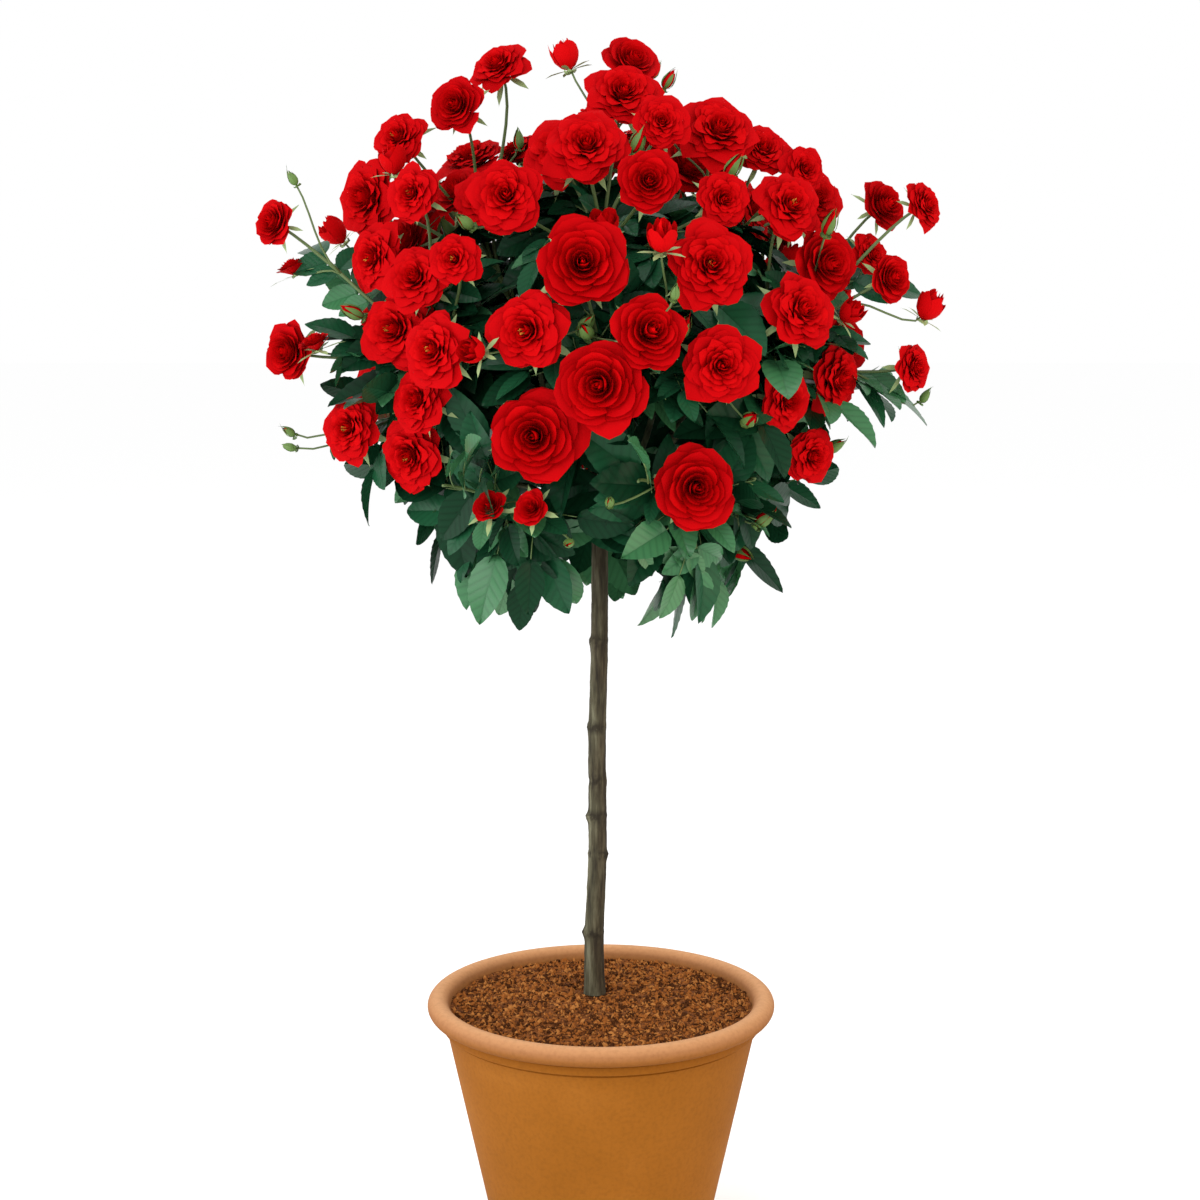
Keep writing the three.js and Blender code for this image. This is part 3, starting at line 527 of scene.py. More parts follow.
def throw_tip(sprays, tips, azimuth, latitude, stretch, radius, flowers, main, random):
    way = way_to_egg(azimuth, latitude)
    spray = max(sprays, key=lambda other: np.dot(other.axis, way))
    length = reach_along(way) * stretch - radius
    place = HUB + way * length
    tip = Thing(spray=spray, way=way, flowers=flowers, radius=radius, spread=radius / length,
                place=place, stretch=stretch, main=main)
    if finds_room(tip, tips):
        tip.face = bloom_face(place, random)
        tips.append(tip)
        spray.tips.append(tip)
        spray.stretch = max(spray.stretch, stretch)


def eased(value, start):
    return smooth(min(max((value - start) / TIP.easing, 0), 1))


def throw_any_tip(sprays, tips, azimuth, latitude, random):
    flowers = latitude > TIP.bloom_from or random() < TIP.rare_bloom
    radius = mix(BLOOM.smallest, BLOOM.largest, random()) if flowers else TIP.shoot_radius
    shoulder = mix(1, TIP.shoulder_reach, eased(latitude, TIP.shoulder))
    form = shoulder * mix(1, TIP.skirt_reach, eased(-latitude, -TIP.skirt))
    stretch = mix(TIP.shallowest, TIP.farthest, random()) * form
    throw_tip(sprays, tips, azimuth, latitude, stretch, radius, flowers, False, random)


def throw_tips(sprays):
    random = seeded(CROWN.seed)
    tips = []
    for azimuth, latitude, stretch, radius in MAIN_BLOOMS:
        throw_tip(sprays, tips, azimuth, latitude, stretch, radius, True, True, random)
    for spray in sprays:
        azimuth = spray.azimuth + TIP.drift_round * random()
        latitude = spray.latitude - TIP.drift_down * random()
        throw_any_tip(sprays, tips, azimuth, latitude, random)
    for _ in range(TIP.throws):
        latitude = math.degrees(math.asin(mix(TIP.lowest_sine, 1, random())))
        throw_any_tip(sprays, tips, 360 * random(), latitude, random)
    return tips


def in_own_space(spray, tips, points):
    """Whether points keep to the ways that lie nearest to the spray's own tips."""
    out = points - HUB
    own_ways = column(spray.tips, "way")
    other_ways = column([tip for tip in tips if tip.spray is not spray], "way")
    nearest = own_ways[np.argmax(out @ own_ways.T, axis=1)]
    walls = unit(nearest[:, None] - other_ways)
    return bool(np.all(dot(out[:, None], walls) > LEAF.wall_clear))


# Growth rule: twigs of a spray and the leaves along them

def twig_curve(start, spray, tip):
    end = tip.place - tip.face * BLOOM.sunk * tip.radius if tip.flowers else tip.place
    span = math.dist(start, end)
    nod = end - unit(tip.face + tip.way) * span * TWIG.nod
    return start, start + spray.axis * span * TWIG.rise, nod, end


def leaf_taper(share):
    return np.minimum(share / LEAF.widest, (1 - share) / (1 - LEAF.widest))


def on_leaf(leaf, share, edge):
    half = edge * leaf_taper(share) * leaf.length * LEAF.width / 2
    return leaf.base + leaf.along * leaf.length * share + leaf.side * half


def leaf_points(leaf, shares):
    """Points on both rims and the midrib of a leaf, at some shares of its length."""
    return np.array([on_leaf(leaf, share, edge) for share in shares for edge in (-1, 0, 1)])


def pierces(starts, ends, leaf):
    """Whether any of the straight lines between two rows of points passes through a leaf's blade."""
    a = starts - leaf.base
    b = ends - leaf.base
    above = a @ leaf.face
    below = b @ leaf.face
    crossing = above * below < 0
    if not crossing.any():
        return False
    a, b, above, below = a[crossing], b[crossing], above[crossing], below[crossing]
    hit = a + (b - a) * (above / (above - below))[:, None]
    share = hit @ leaf.along / leaf.length
    half = leaf_taper(share) * leaf.length * LEAF.width / 2 + LEAF.clear
    inside = (share > LEAF.stalk) & (share < 1 + LEAF.stalk) & (np.abs(hit @ leaf.side) < half)
    return bool(inside.any())


def leaf_reach(spray, height):
    """Leaves reach the outline low in the crown, and higher up they stay behind the blooms."""
    shy = smooth(np.clip((height - LEAF.shy_from) / (LEAF.shy_to - LEAF.shy_from), 0, 1))
    return mix(min(spray.stretch, LEAF.low_reach), LEAF.top_reach, shy)


def within_reach(spray, points, trunk_clear, stretch=None):
    """Whether points keep inside the crown, or inside a truss's own stretch, and off the trunk."""
    out = points - HUB
    length = np.linalg.norm(out, axis=1)
    reach = reach_along(out / length[:, None]) * (stretch or leaf_reach(spray, points[:, 2]))
    inside = (length < np.maximum(reach, LEAF.hang)) & (points[:, 2] > CROWN.lowest)
    return bool(np.all(inside & (np.hypot(out[:, 0], out[:, 1]) > trunk_clear)))


def hides_bloom(points, tips, margin=0):
    """Whether any of the points lies in front of a bloom's face, or closer than a margin beside it."""
    blooms = [tip for tip in tips if tip.flowers]
    faces = column(blooms, "face")
    out = points[:, None] - column(blooms, "place")
    ahead = dot(out, faces)
    off = np.linalg.norm(out - faces * ahead[..., None], axis=2)
    beside = off < column(blooms, "radius") * LEAF.bloom_clear + margin
    return bool(np.any((ahead > 0) & (ahead < LEAF.ahead_of_bloom) & beside))


def leaf_is_clear(spray, leaf, tips, bough_points):
    """Whether a leaf keeps within reach and off the core, the limbs, the blooms and other sprays' space."""
    points = leaf.points
    if np.linalg.norm(points - HUB, axis=1).min() <= CROWN.core:
        return False
    if not within_reach(spray, points, UNION_CLEAR):
        return False
    if np.linalg.norm(points[:, None] - bough_points, axis=2).min() <= LEAF.limb_clear:
        return False
    for tip in spray.tips:
        near = np.linalg.norm(points - tip.place, axis=1).min()
        if tip.flowers and near <= tip.radius * LEAF.bloom_clear:
            return False
    return not hides_bloom(points, tips) and in_own_space(spray, tips, points)


def crosses_growth(leaf, mass):
    for other in mass.leaves:
        if pierces(*leaf.rim, other) or pierces(*other.rim, leaf):
            return True
    return any(pierces(twig.joints[:-1], twig.joints[1:], leaf) for twig in mass.twigs)


def square_to_bend(curve):
    """A way square to the bend of a curve, so that the sides of a limb don't twist."""
    chord = unit(curve[3] - curve[0])
    bend = np.cross(unit(curve[1] - curve[0]), chord)
    if np.linalg.norm(bend) > STRAIGHT:
        return unit(bend)
    return RIGHT if abs(chord[2]) > STEEP else UP


def leaf_at(base, along, face, length, reach=None, shown=False):
    """A leaf; one on a truss has a reach of its own, and a shown one is kept as the photo has it."""
    side = np.cross(face, along)
    return Thing(base=base, along=along, face=face, side=side, length=length, reach=reach, shown=shown)


def draw_leaf(twig, share, turn, size, random):
    span = min(math.floor(share * TWIG.spans), TWIG.spans - 1)
    start, end = twig.joints[span], twig.joints[span + 1]
    tangent = unit(end - start)
    sideways = turned(across(square_to_bend(twig.curve), tangent), tangent, turn)
    way = sideways + tangent * mix(*LEAF.forward, random()) + twig.tip.way * LEAF.outward
    way = unit(way + UP * mix(*LEAF.droop, random()))
    face = across(twig.tip.way + UP * mix(*LEAF.face_up, random()), way)
    length = mix(LEAF.shortest, LEAF.longest, random()) * size
    leaf = leaf_at(mix(start, end, share * TWIG.spans - span), way, face, length)
    kite = ((0, 0), (LEAF.widest, -1), (1, 0), (LEAF.widest, 1))
    corners = np.array([on_leaf(leaf, part, edge) for part, edge in kite])
    leaf.rim = (corners[[0, 1, 2, 3, 0]], corners[[1, 2, 3, 0, 2]])
    leaf.points = leaf_points(leaf, LEAF.tested)
    return leaf


def grow_leaves(mass, twig, tips, bough_points, random):
    """Leaves that fit the rule, and fillers where one only brushes a neighbour, for the finer growth."""
    first = math.floor(random() * TWIG.sides)
    for i in range(LEAF.per_twig):
        share = mix(LEAF.first, LEAF.last, (i + random() * LEAF.jitter) / LEAF.per_twig)
        spare = None
        for attempt in range(LEAF.tries):
            turn = (first + i + attempt + 0.5) * ROUND / TWIG.sides
            leaf = draw_leaf(twig, share, turn, 1 - LEAF.shrink * attempt, random)
            if not leaf_is_clear(mass.spray, leaf, tips, bough_points):
                continue
            if not crosses_growth(leaf, mass):
                mass.leaves.append(leaf)
                spare = None
                break
            spare = spare or leaf
        if spare:
            mass.fillers.append(spare)


def grow_spray(spray, index, tips, bough_points):
    random = seeded(CROWN.seed + CROWN.seed_step * (index + 1))
    stem_start = HUB + spray.axis * (spray.reach * BOUGH.share + GAP)
    stem_end = HUB + spray.axis * spray.reach * STEM.share
    mass = Thing(spray=spray, stem=(stem_start, stem_end), twigs=[], leaves=[], fillers=[], inner=[])
    outermost = sorted(spray.tips, key=lambda tip: np.dot(tip.way, spray.axis))
    for i, tip in enumerate(outermost):
        share = mix(STEM.first_twig, STEM.last_twig, (i + 0.5) / len(outermost))
        curve = twig_curve(mix(stem_start, stem_end, share), spray, tip)
        joints = bezier(curve, np.linspace(0, 1, TWIG.spans + 1))
        if in_own_space(spray, tips, joints):
            mass.twigs.append(Thing(tip=tip, curve=curve, joints=joints))
    for twig in mass.twigs:
        grow_leaves(mass, twig, tips, bough_points, random)
    return mass


def grow_crown():
    sprays = make_sprays()
    tips = throw_tips(sprays)
    shares = np.linspace(0, 1, BOUGH.tested)
    bough_points = np.concatenate([bezier(bough_curve(spray), shares) for spray in sprays])
    return [grow_spray(spray, index, tips, bough_points) for index, spray in enumerate(sprays)], tips


# Finer growth: what keeps leaves and buds in their place

def in_box(points, margin):
    """Whether points lie in the crown's box, let out by a margin."""
    return bool(np.all((points > CROWN_BOX[0] - margin) & (points < CROWN_BOX[1] + margin)))


def stays_in(spray, points, stretch):
    """Whether points keep to the box and within reach, and well off the lower stem."""
    clear = np.where(points[:, 2] < LOW_STEM.height, LOW_STEM.clear, UNION_CLEAR)
    return in_box(points, 0) and within_reach(spray, points, clear, stretch)


def hides_shown(points, tips):
    """Whether any of the points lies in front of a main bloom, on the side that the photo shows."""
    blooms = [tip for tip in tips if tip.main]
    out = points[:, None] - column(blooms, "place")
    off = np.hypot(out[..., 0], out[..., 2])
    return bool(np.any((out[..., 1] < 0) & (off < column(blooms, "radius") * SHOWN_CLEAR)))


def hides_trunk(points, margin=0):
    """Whether any of the points lies low in front of the trunk, or closer than a margin to there."""
    low = (points[:, 1] < HUB[1]) & (points[:, 2] < FRONT_GAP.height + margin)
    return bool(np.any(low & (np.abs(points[:, 0]) < FRONT_GAP.half_width + margin)))


# Finer growth: more leaves, their leaflets, and buds on stalks

def twig_leaf(twig, share, kind, reach, dice):
    """A leaf that leaves a twig at a share of its length and leans along it."""
    base, ahead = bezier(twig.curve, [share, share + ADDED_LEAF.step])
    tangent = unit(ahead - base)
    out = twig.tip.way
    way = across(dice.normal(size=3), tangent) + tangent * kind.lean + out * mix(*ADDED_LEAF.outward, share)
    way = unit(way + UP * dice.uniform(*ADDED_LEAF.droop))
    face = across(out + UP * dice.uniform(*ADDED_LEAF.face_up), way)
    return leaf_at(base, way, face, dice.uniform(*kind.lengths), reach)


def fitting(leaves, spray, tips):
    """Those of the leaves that keep within reach and hide no bloom."""
    kept = []
    for leaf in leaves:
        points = leaf_points(leaf, LEAF.tested[1:])
        if stays_in(spray, points, leaf.reach) and not hides_bloom(points, tips):
            kept.append(leaf)
    return kept


def add_inner_leaves(growth, tips, dice):
    """More leaves along the twigs, which fill the crown, and a few on the stalks of the trusses."""
    for mass in growth:
        near_foot, near_tip = ADDED_LEAVES[mass.spray.tier]
        for twig in mass.twigs:
            shares = [*dice.uniform(*FOOT_SHARES, near_foot), *dice.uniform(*TIP_SHARES, near_tip)]
            leaves = [twig_leaf(twig, share, INNER_LEAF, None, dice) for share in shares]
            mass.inner += fitting(leaves, mass.spray, tips)
            stretch = twig.tip.stretch
            if stretch >= TRUSS_FROM:
                leaves = [twig_leaf(twig, dice.uniform(*TRUSS_LEAF.shares), TRUSS_LEAF, stretch, dice)
                          for _ in range(TRUSS_LEAF.tries)]
                mass.inner += fitting(leaves, mass.spray, tips)[:TRUSS_LEAF.count]


def add_far_leaves(growth):
    """The outermost leaves that the photo shows, each from the nearest twig."""
    pairs = [(mass, twig) for mass in growth for twig in mass.twigs]
    for azimuth, latitude, stretch in FAR_LEAVES:
        way = way_to_egg(azimuth, latitude)
        target = HUB + way * reach_along(way) * stretch
        mass, twig = min(pairs, key=lambda pair: math.dist(pair[1].tip.place, target))
        line = bezier(twig.curve, np.linspace(*FAR_LEAF.shares, FAR_LEAF.steps))
        spans = np.linalg.norm(target - line, axis=1)
        base = line[np.argmin(np.abs(spans - FAR_LEAF.span))]
        along = unit(target - base)
        length = math.dist(base, target) / (RACHIS.share + LEAFLETS[-1][1])
        mass.inner.append(leaf_at(base, along, across(UP + way, along), length, shown=True))


def leaf_shade(leaf, light, dice):
    """Deals out the leaf colours: dark inside the crown as painted shade, lighter outside as painted light,
    and now and then a young pale leaf outside.
    """
    middle = leaf.base + leaf.along * leaf.length / 2
    share_out = np.linalg.norm(middle - HUB) / reach_along(unit(middle - HUB))
    # Painted shade and light: the draw rises outwards, so leaves deep in the crown come out darker
    draw = dice.random() + SHADE_RISE * (share_out - SHADE_MIDDLE) + light
    return next(shade for shade, end in SHADE_ENDS.items() if draw < end)


def make_leaflets(growth, tips, dice):
    """The leaflets and stalks of every leaf, each leaflet with its place, ways, size and shade."""
    leaflets = []
    stalks = []
    stations = np.linspace(0, 1, RACHIS.points)[:, None]
    for mass in growth:
        low = mass.spray.tier == "skirt"
        for leaf in mass.leaves + mass.inner + ([] if low else mass.fillers):
            shade = leaf_shade(leaf, SKIRT_LIGHT if low else 0, dice)
            young = LEAFLET.young if shade == "leaf_pale" else 1
            outward = unit((leaf.base - HUB) * (1, 1, 0)) * (SKIRT_FACING if low else 0)
            droop = RACHIS.droop * dice.uniform(*RACHIS.droops)
            forth = leaf.along * leaf.length * RACHIS.share
            down = leaf.face * leaf.length * RACHIS.share * droop
            rachis = leaf.base + forth * stations - down * stations**2
            stalks.append((rachis, np.linspace(*RACHIS.radii, RACHIS.points)))
            for share, size, angle in SKIRT_LEAFLETS if low else LEAFLETS:
                base = leaf.base + forth * share - down * share**2
                angle += dice.uniform(-LEAFLET.sway, LEAFLET.sway)
                way = turned(leaf.along, leaf.face, math.radians(angle))
                way = unit(way - leaf.face * (2 * droop * share + dice.uniform(*LEAFLET.nods)))
                roll = math.radians(dice.uniform(-LEAFLET.roll, LEAFLET.roll))
                face = turned(across(leaf.face + outward, way), way, roll)
                length = leaf.length * size * dice.uniform(*LEAFLET.lengths) * young
                points = base + way * (length * np.array(LEAFLET.tested))[:, None]
                fits = stays_in(mass.spray, points[2:], leaf.reach)
                hides = hides_bloom(points[1:], tips) or hides_trunk(points) or hides_shown(points, tips)
                if leaf.shown or (fits and not hides):
                    leaflets.append(Thing(base=base, along=way, face=face, length=length, shade=shade))
    return leaflets, stalks


def bud_on(twig, share, **looks):
    """A bud whose stalk leaves a twig at a share of its length."""
    return Thing(start=bezier(twig.curve, [share])[0], way=twig.tip.way, **looks)


def draw_bud(twig, dice):
    """A bud or small bloom beside the tip of a twig."""
    tip = twig.tip
    share = dice.uniform(*BUD.stalk_from)
    sideways = across(dice.normal(size=3), tip.way)
    beside = sideways * (tip.radius * dice.uniform(*BUD.beside))
    place = tip.place + beside + tip.way * tip.radius * dice.uniform(*BUD.ahead)
    face = leaning(BUD.lean, (tip.face, tip.way, sideways, UP, dice.normal(size=3)))
    stage = dice.choice(list(BUD_SHARES), p=list(BUD_SHARES.values()))
    radius = dice.uniform(*(BUD.small_radii if stage == "small" else BUD.radii))
    return bud_on(twig, share, place=place, face=face, radius=radius, stage=stage)


def bud_fits(bud, tip, tips):
    """Whether a bud keeps within its tip's reach and in the box, and off the blooms and the trunk's front."""
    reach = reach_along(unit(bud.place - HUB)) * max(TIP.farthest, tip.stretch) - bud.radius
    ends = np.array([bud.place, bud.place + bud.face * bud.radius])
    if hides_bloom(ends, tips, bud.radius * BUD.bloom_clear):
        return False
    if hides_trunk(ends, bud.radius * BUD.trunk_clear):
        return False
    return np.linalg.norm(bud.place - HUB) <= reach and in_box(ends, -bud.radius)


def make_buds(growth, tips, dice):
    """Buds at random, and those that the photo shows, each on the nearest twig."""
    buds = []
    twigs = [twig for mass in growth for twig in mass.twigs]
    for twig in twigs:
        shares = BUDS_BY_BLOOM if twig.tip.flowers else BUDS_BY_SHOOT
        for _ in range(dice.choice(len(shares), p=shares)):
            bud = draw_bud(twig, dice)
            if bud_fits(bud, twig.tip, tips):
                buds.append(bud)
    for azimuth, latitude, stretch, stage in MAIN_BUDS:
        way = way_to_egg(azimuth, latitude)
        radius = MAIN_BUD.radii[stage]
        place = HUB + way * (reach_along(way) * stretch - radius)
        twig = min(twigs, key=lambda twig: math.dist(twig.tip.place, place))
        face = leaning(MAIN_BUD.lean, (way, UP, dice.normal(size=3)))
        buds.append(bud_on(twig, MAIN_BUD.stalk_from, place=place, face=face, radius=radius, stage=stage))
    return buds


def bud_stalk(bud):
    bend = math.dist(bud.start, bud.place) * BUD.bend
    curve = (bud.start, bud.start + bud.way * bend, bud.place - bud.face * bend, bud.place)
    return tapered(curve, BUD.stalk_radii, BUD.stalk_points)


# Pieces in the scene, the parts that they hide and the body that they hang on

def set_up(thing, **settings):
    for name, value in settings.items():
        setattr(thing, name, value)
    return thing


def placed(name, data, **settings):
    """A new object in the scene, with its settings."""
    thing = set_up(bpy.data.objects.new(name, data), **settings)
    bpy.context.scene.collection.objects.link(thing)
    return thing


def modified(piece, kind, **settings):
    """Applies a modifier to a piece."""
    modifier = set_up(piece.modifiers.new(kind, kind), **settings)
    bpy.context.view_layer.objects.active = piece
    bpy.ops.object.modifier_apply(modifier=modifier.name)


def dressed(piece, slot, *nodes):
    """Hides the parts that a piece replaces and hangs the piece on the one body; the slot, what it is made
    of, is not used.
    """
    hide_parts(*nodes)
    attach(piece, "root")


# Joined meshes from arrays, in millimetres

def joined_piece(name, shapes, material, slot, nodes, smooth_faces=True):
    """One mesh from batches of points and faces, some with a place on the blade for each point."""
    points = np.concatenate([shape["points"] for shape in shapes])
    offsets = np.cumsum([0] + [len(shape["points"]) for shape in shapes])
    corners = np.concatenate([(shape["faces"] + offset).ravel() for shape, offset in zip(shapes, offsets)])
    sizes = np.concatenate([np.full(len(shape["faces"]), shape["faces"].shape[1]) for shape in shapes])
    mesh = bpy.data.meshes.new(name)
    mesh.vertices.add(len(points))
    mesh.vertices.foreach_set("co", (points * MM).astype(np.float32).ravel())
    mesh.loops.add(len(corners))
    mesh.loops.foreach_set("vertex_index", corners.astype(np.int32))
    mesh.polygons.add(len(sizes))
    mesh.polygons.foreach_set("loop_start", (np.cumsum(sizes) - sizes).astype(np.int32))
    mesh.polygons.foreach_set("use_smooth", np.full(len(sizes), smooth_faces))
    mesh.update(calc_edges=True)
    if "blade" in shapes[0]:
        blade = np.concatenate([shape["blade"] for shape in shapes])
        layer = mesh.uv_layers.new(name="blade")
        layer.data.foreach_set("uv", blade[corners].astype(np.float32).ravel())
    mesh.validate()
    mesh.materials.append(material)
    dressed(placed(name, mesh), slot, *nodes)


def repeated(faces, count, step):
    """The faces of one shape for many copies of it, with its number of points as the step."""
    return (faces[None] + (np.arange(count) * step)[:, None, None]).reshape(-1, faces.shape[1])


def tube_batches(lines, sides):
    """Closed round limbs along lines, with a radius for each ring or corner, as walls and end caps."""
    points = []
    walls = []
    caps = []
    first = 0
    here = np.arange(sides)
    after = (here + 1) % sides
    turns = (here * ROUND / sides)[None, :, None]
    for line, radii in lines:
        count = len(line)
        tangents = unit(np.gradient(line, axis=0))
        square = square_to_bend((line[0], line[1], line[-2], line[-1]))
        side = across(np.broadcast_to(square, tangents.shape), tangents)
        ring = np.cos(turns) * side[:, None] + np.sin(turns) * np.cross(tangents, side)[:, None]
        rings = line[:, None] + ring * np.reshape(radii, (count, -1, 1))
        points += [rings.reshape(-1, 3), line[:1], line[-1:]]
        starts = first + np.arange(count - 1)[:, None] * sides
        a = (starts + here).ravel()
        b = (starts + after).ravel()
        walls.append(np.stack([a, b, b + sides, a + sides], axis=1))
        last = (count - 1) * sides
        hub = np.full(sides, count * sides)
        caps.append(first + np.stack([after, here, hub], axis=1))
        caps.append(first + np.stack([here + last, after + last, hub + 1], axis=1))
        first += count * sides + 2
    everything = np.concatenate(points)
    return [
        {"points": everything, "faces": np.concatenate(walls)},
        {"points": everything[:0], "faces": np.concatenate(caps) - len(everything)},
    ]


# Leaflets: two half blades folded at the midrib, with a toothed rim

def blade_template():
    """Corners of one leaflet as share along, share across and pleat, and its three-cornered faces."""
    teeth = LEAFLET.teeth
    stations = np.linspace(0, 1, teeth + 1)
    points = mix(stations[:-1], stations[1:], LEAFLET.tooth)
    corners = []
    faces = []
    for half in (-1, 1):
        first = len(corners)
        corners += [(share, 0.0, 0.0) for share in stations]
        corners += [(share, half * LEAFLET.notch, -1.0) for share in stations]
        corners += [(share, half * LEAFLET.point, 1.0) for share in points]
        for rib in range(first, first + teeth):
            rim = rib + teeth + 1
            tooth = rim + teeth + 1
            trio = [(rib, tooth, rim), (rib, rib + 1, tooth), (rib + 1, rim + 1, tooth)]
            faces += trio if half > 0 else [(a, c, b) for a, b, c in trio]
    return np.array(corners), np.array(faces)


def blade_outline(share):
    """Half width of an oval leaflet with a drawn-out tip, one at its widest."""
    return np.sin(math.pi * np.clip(share, 0, 1) ** LEAFLET.belly) ** LEAFLET.fullness


def blade_batch(leaflets, dice):
    template, faces = blade_template()
    share, edge, pleat = template.T
    count = len(leaflets)
    along = column(leaflets, "along")[:, None]
    face = column(leaflets, "face")[:, None]
    length = column(leaflets, "length")[:, None]
    fold = dice.uniform(*LEAFLET.folds, (count, 1))
    arch = dice.uniform(*LEAFLET.arches, (count, 1))
    wave = dice.uniform(0, ROUND, (count, 1))
    half = length * LEAFLET.width / 2 * dice.uniform(*LEAFLET.widths, (count, 1))
    x = length * share
    y = half * edge * blade_outline(share)
    z = np.abs(y) * fold - arch * length * share**2 + length * LEAFLET.pleat * pleat
    z = z + length * LEAFLET.wave * np.abs(edge) * np.sin(wave + LEAFLET.waves * share)
    points = column(leaflets, "base")[:, None] + along * x[..., None]
    points = points + np.cross(face, along) * y[..., None] + face * z[..., None]
    blade = np.stack([0.5 + 0.5 * edge * blade_outline(share), share], axis=1)
    return {
        "points": points.reshape(-1, 3),
        "faces": repeated(faces, count, len(template)),
        "blade": np.tile(blade, (count, 1)),
    }


# Flowers: rings of petals, each petal a small curved sheet

def petal_batch(flowers, ring, depth, dice):
    """All the petals of one ring on many flowers at once; the depth runs from 0 outside to 1 at the heart."""
    _, count, half_span, middle, end, curl = ring
    total = len(flowers)
    shape = (total, count, 1, 1)
    one_each = (total, 1, 1, 1)
    face = column(flowers, "face")
    right = across(np.where(np.abs(face[:, 2:]) > STEEP, RIGHT, UP), face)
    edge = np.linspace(-1, 1, PETAL.columns)[None, None, None, :]
    up = np.linspace(0, 1, PETAL.rows)[None, None, :, None]
    narrow = half_span < PETAL.narrow
    loose = 0 if narrow else 1

    def either_side(most, size=shape):
        return dice.uniform(-most, most, size)

    outline = either_side(PETAL.lean) * edge
    outline = outline + dice.uniform(0.0, PETAL.point, shape) * (1 - np.abs(edge)) ** PETAL.point_power
    outline = outline + either_side(PETAL.ragged, (total, count, 1, PETAL.columns))
    outline = 1 + loose * (outline - PETAL.rounding * np.abs(edge) ** PETAL.rounding_power)
    t = up * outline * dice.uniform(*PETAL.lengths, shape)
    turn = dice.uniform(0, ROUND, one_each) + np.arange(count)[None, :, None, None] * ROUND / count
    turn = turn + either_side(PETAL.sway)
    width = (1 - up**3) if narrow else mix(PETAL.foot_width, 1, np.sqrt(up))
    angle = turn + np.radians(half_span) * dice.uniform(*PETAL.spans, shape) * edge * width
    profile = zip(PETAL.foot, middle, end)
    rho, height = (foot * (1 - t) ** 2 + bend * 2 * t * (1 - t) + rim * t**2 for foot, bend, rim in profile)
    curled = curl * np.clip((t - PETAL.curl_from) / (1 - PETAL.curl_from), 0, None) ** 2
    rho = rho + PETAL.curl_out * curled + PETAL.spiral * edge * t
    wave = dice.uniform(0, ROUND, shape)
    frill = PETAL.frill * t**2 * np.sin(PETAL.frills * edge * math.pi + wave)
    cup = dice.uniform(*PETAL.cup, shape) * edge**2 * t**2
    lift = PETAL.lift * either_side(1) * t
    height = height - PETAL.curl_down * curled + lift + loose * (frill + cup)
    heart = column(flowers, "heart") * depth
    flat_x = rho * np.cos(angle) + heart[:, 0].reshape(one_each) * t
    flat_y = rho * np.sin(angle) + heart[:, 1].reshape(one_each) * t
    parts = ((flat_x, right), (flat_y, np.cross(face, right)), (height, face))
    local = sum(part[..., None] * way[:, None, None, None] for part, way in parts)
    radius = column(flowers, "radius")[:, None, None, None, None]
    points = column(flowers, "place")[:, None, None, None] + local * radius
    corner = (np.arange(PETAL.rows - 1)[:, None] * PETAL.columns + np.arange(PETAL.columns - 1)).ravel()
    faces = np.stack([corner, corner + 1, corner + PETAL.columns + 1, corner + PETAL.columns], axis=1)
    return {
        "points": points.reshape(-1, 3),
        "faces": repeated(faces, total * count, PETAL.rows * PETAL.columns),
    }


def make_flowers(growth, buds, dice):
    """Petals, sepals and stamens of all the blooms and buds, sorted by kind."""
    blooms = [twig.tip for mass in growth for twig in mass.twigs if twig.tip.flowers]
    forms = np.digitize(dice.random(len(blooms)), BLOOM_FORM_ENDS)
    groups = []
    for form, rings in enumerate((BLOWN_BLOOM, OPEN_BLOOM, CUPPED_BLOOM)):
        groups.append(([bloom for bloom, its_form in zip(blooms, forms) if its_form == form], rings))
    groups.append((blooms, CALYX))
    for stage, rings in BUD_FORMS.items():
        groups.append(([bud for bud in buds if bud.stage == stage], rings))
    batches = {}
    for flowers, rings in groups:
        for flower in flowers:
            flower.heart = dice.uniform(-PETAL.heart_shift, PETAL.heart_shift, 2)
        for layer, ring in enumerate(rings):
            batches.setdefault(ring[0], []).append(petal_batch(flowers, ring, layer / len(rings), dice))
    return batches


# Turned pieces, drawn up ring by ring

def drawn_up(name, rings, sides):
    """A closed body: a disc drawn up through rings of place, height and radius."""
    bpy.ops.object.select_all(action="DESELECT")
    x, y, z, radius = rings[0]
    bpy.ops.mesh.primitive_circle_add(
        vertices=sides, radius=radius * MM, fill_type="NGON", location=(x * MM, y * MM, z * MM))
    piece = bpy.context.object
    piece.name = name
    bpy.ops.object.transform_apply(location=True, rotation=True, scale=True)
    bpy.ops.object.mode_set(mode="EDIT")
    bpy.ops.mesh.select_all(action="SELECT")
    for low, high in zip(rings, rings[1:]):
        step = tuple((high[i] - low[i]) * MM for i in range(3))
        centre = tuple(high[i] * MM for i in range(3))
        growth = high[3] / low[3]
        bpy.ops.mesh.extrude_region_move(TRANSFORM_OT_translate={"value": step})
        bpy.ops.transform.resize(value=(growth, growth, 1), center_override=centre)
    bpy.ops.mesh.select_all(action="SELECT")
    bpy.ops.mesh.normals_make_consistent(inside=False)
    bpy.ops.object.mode_set(mode="OBJECT")
    return piece


def finished(piece, degrees, material, slot, node):
    """Softens a turned piece's edges up to an angle, and dresses it."""
    bpy.ops.object.select_all(action="DESELECT")
    piece.select_set(True)
    bpy.context.view_layer.objects.active = piece
    bpy.ops.object.shade_smooth_by_angle(angle=math.radians(degrees))
    piece.data.materials.append(material)
    dressed(piece, slot, node)


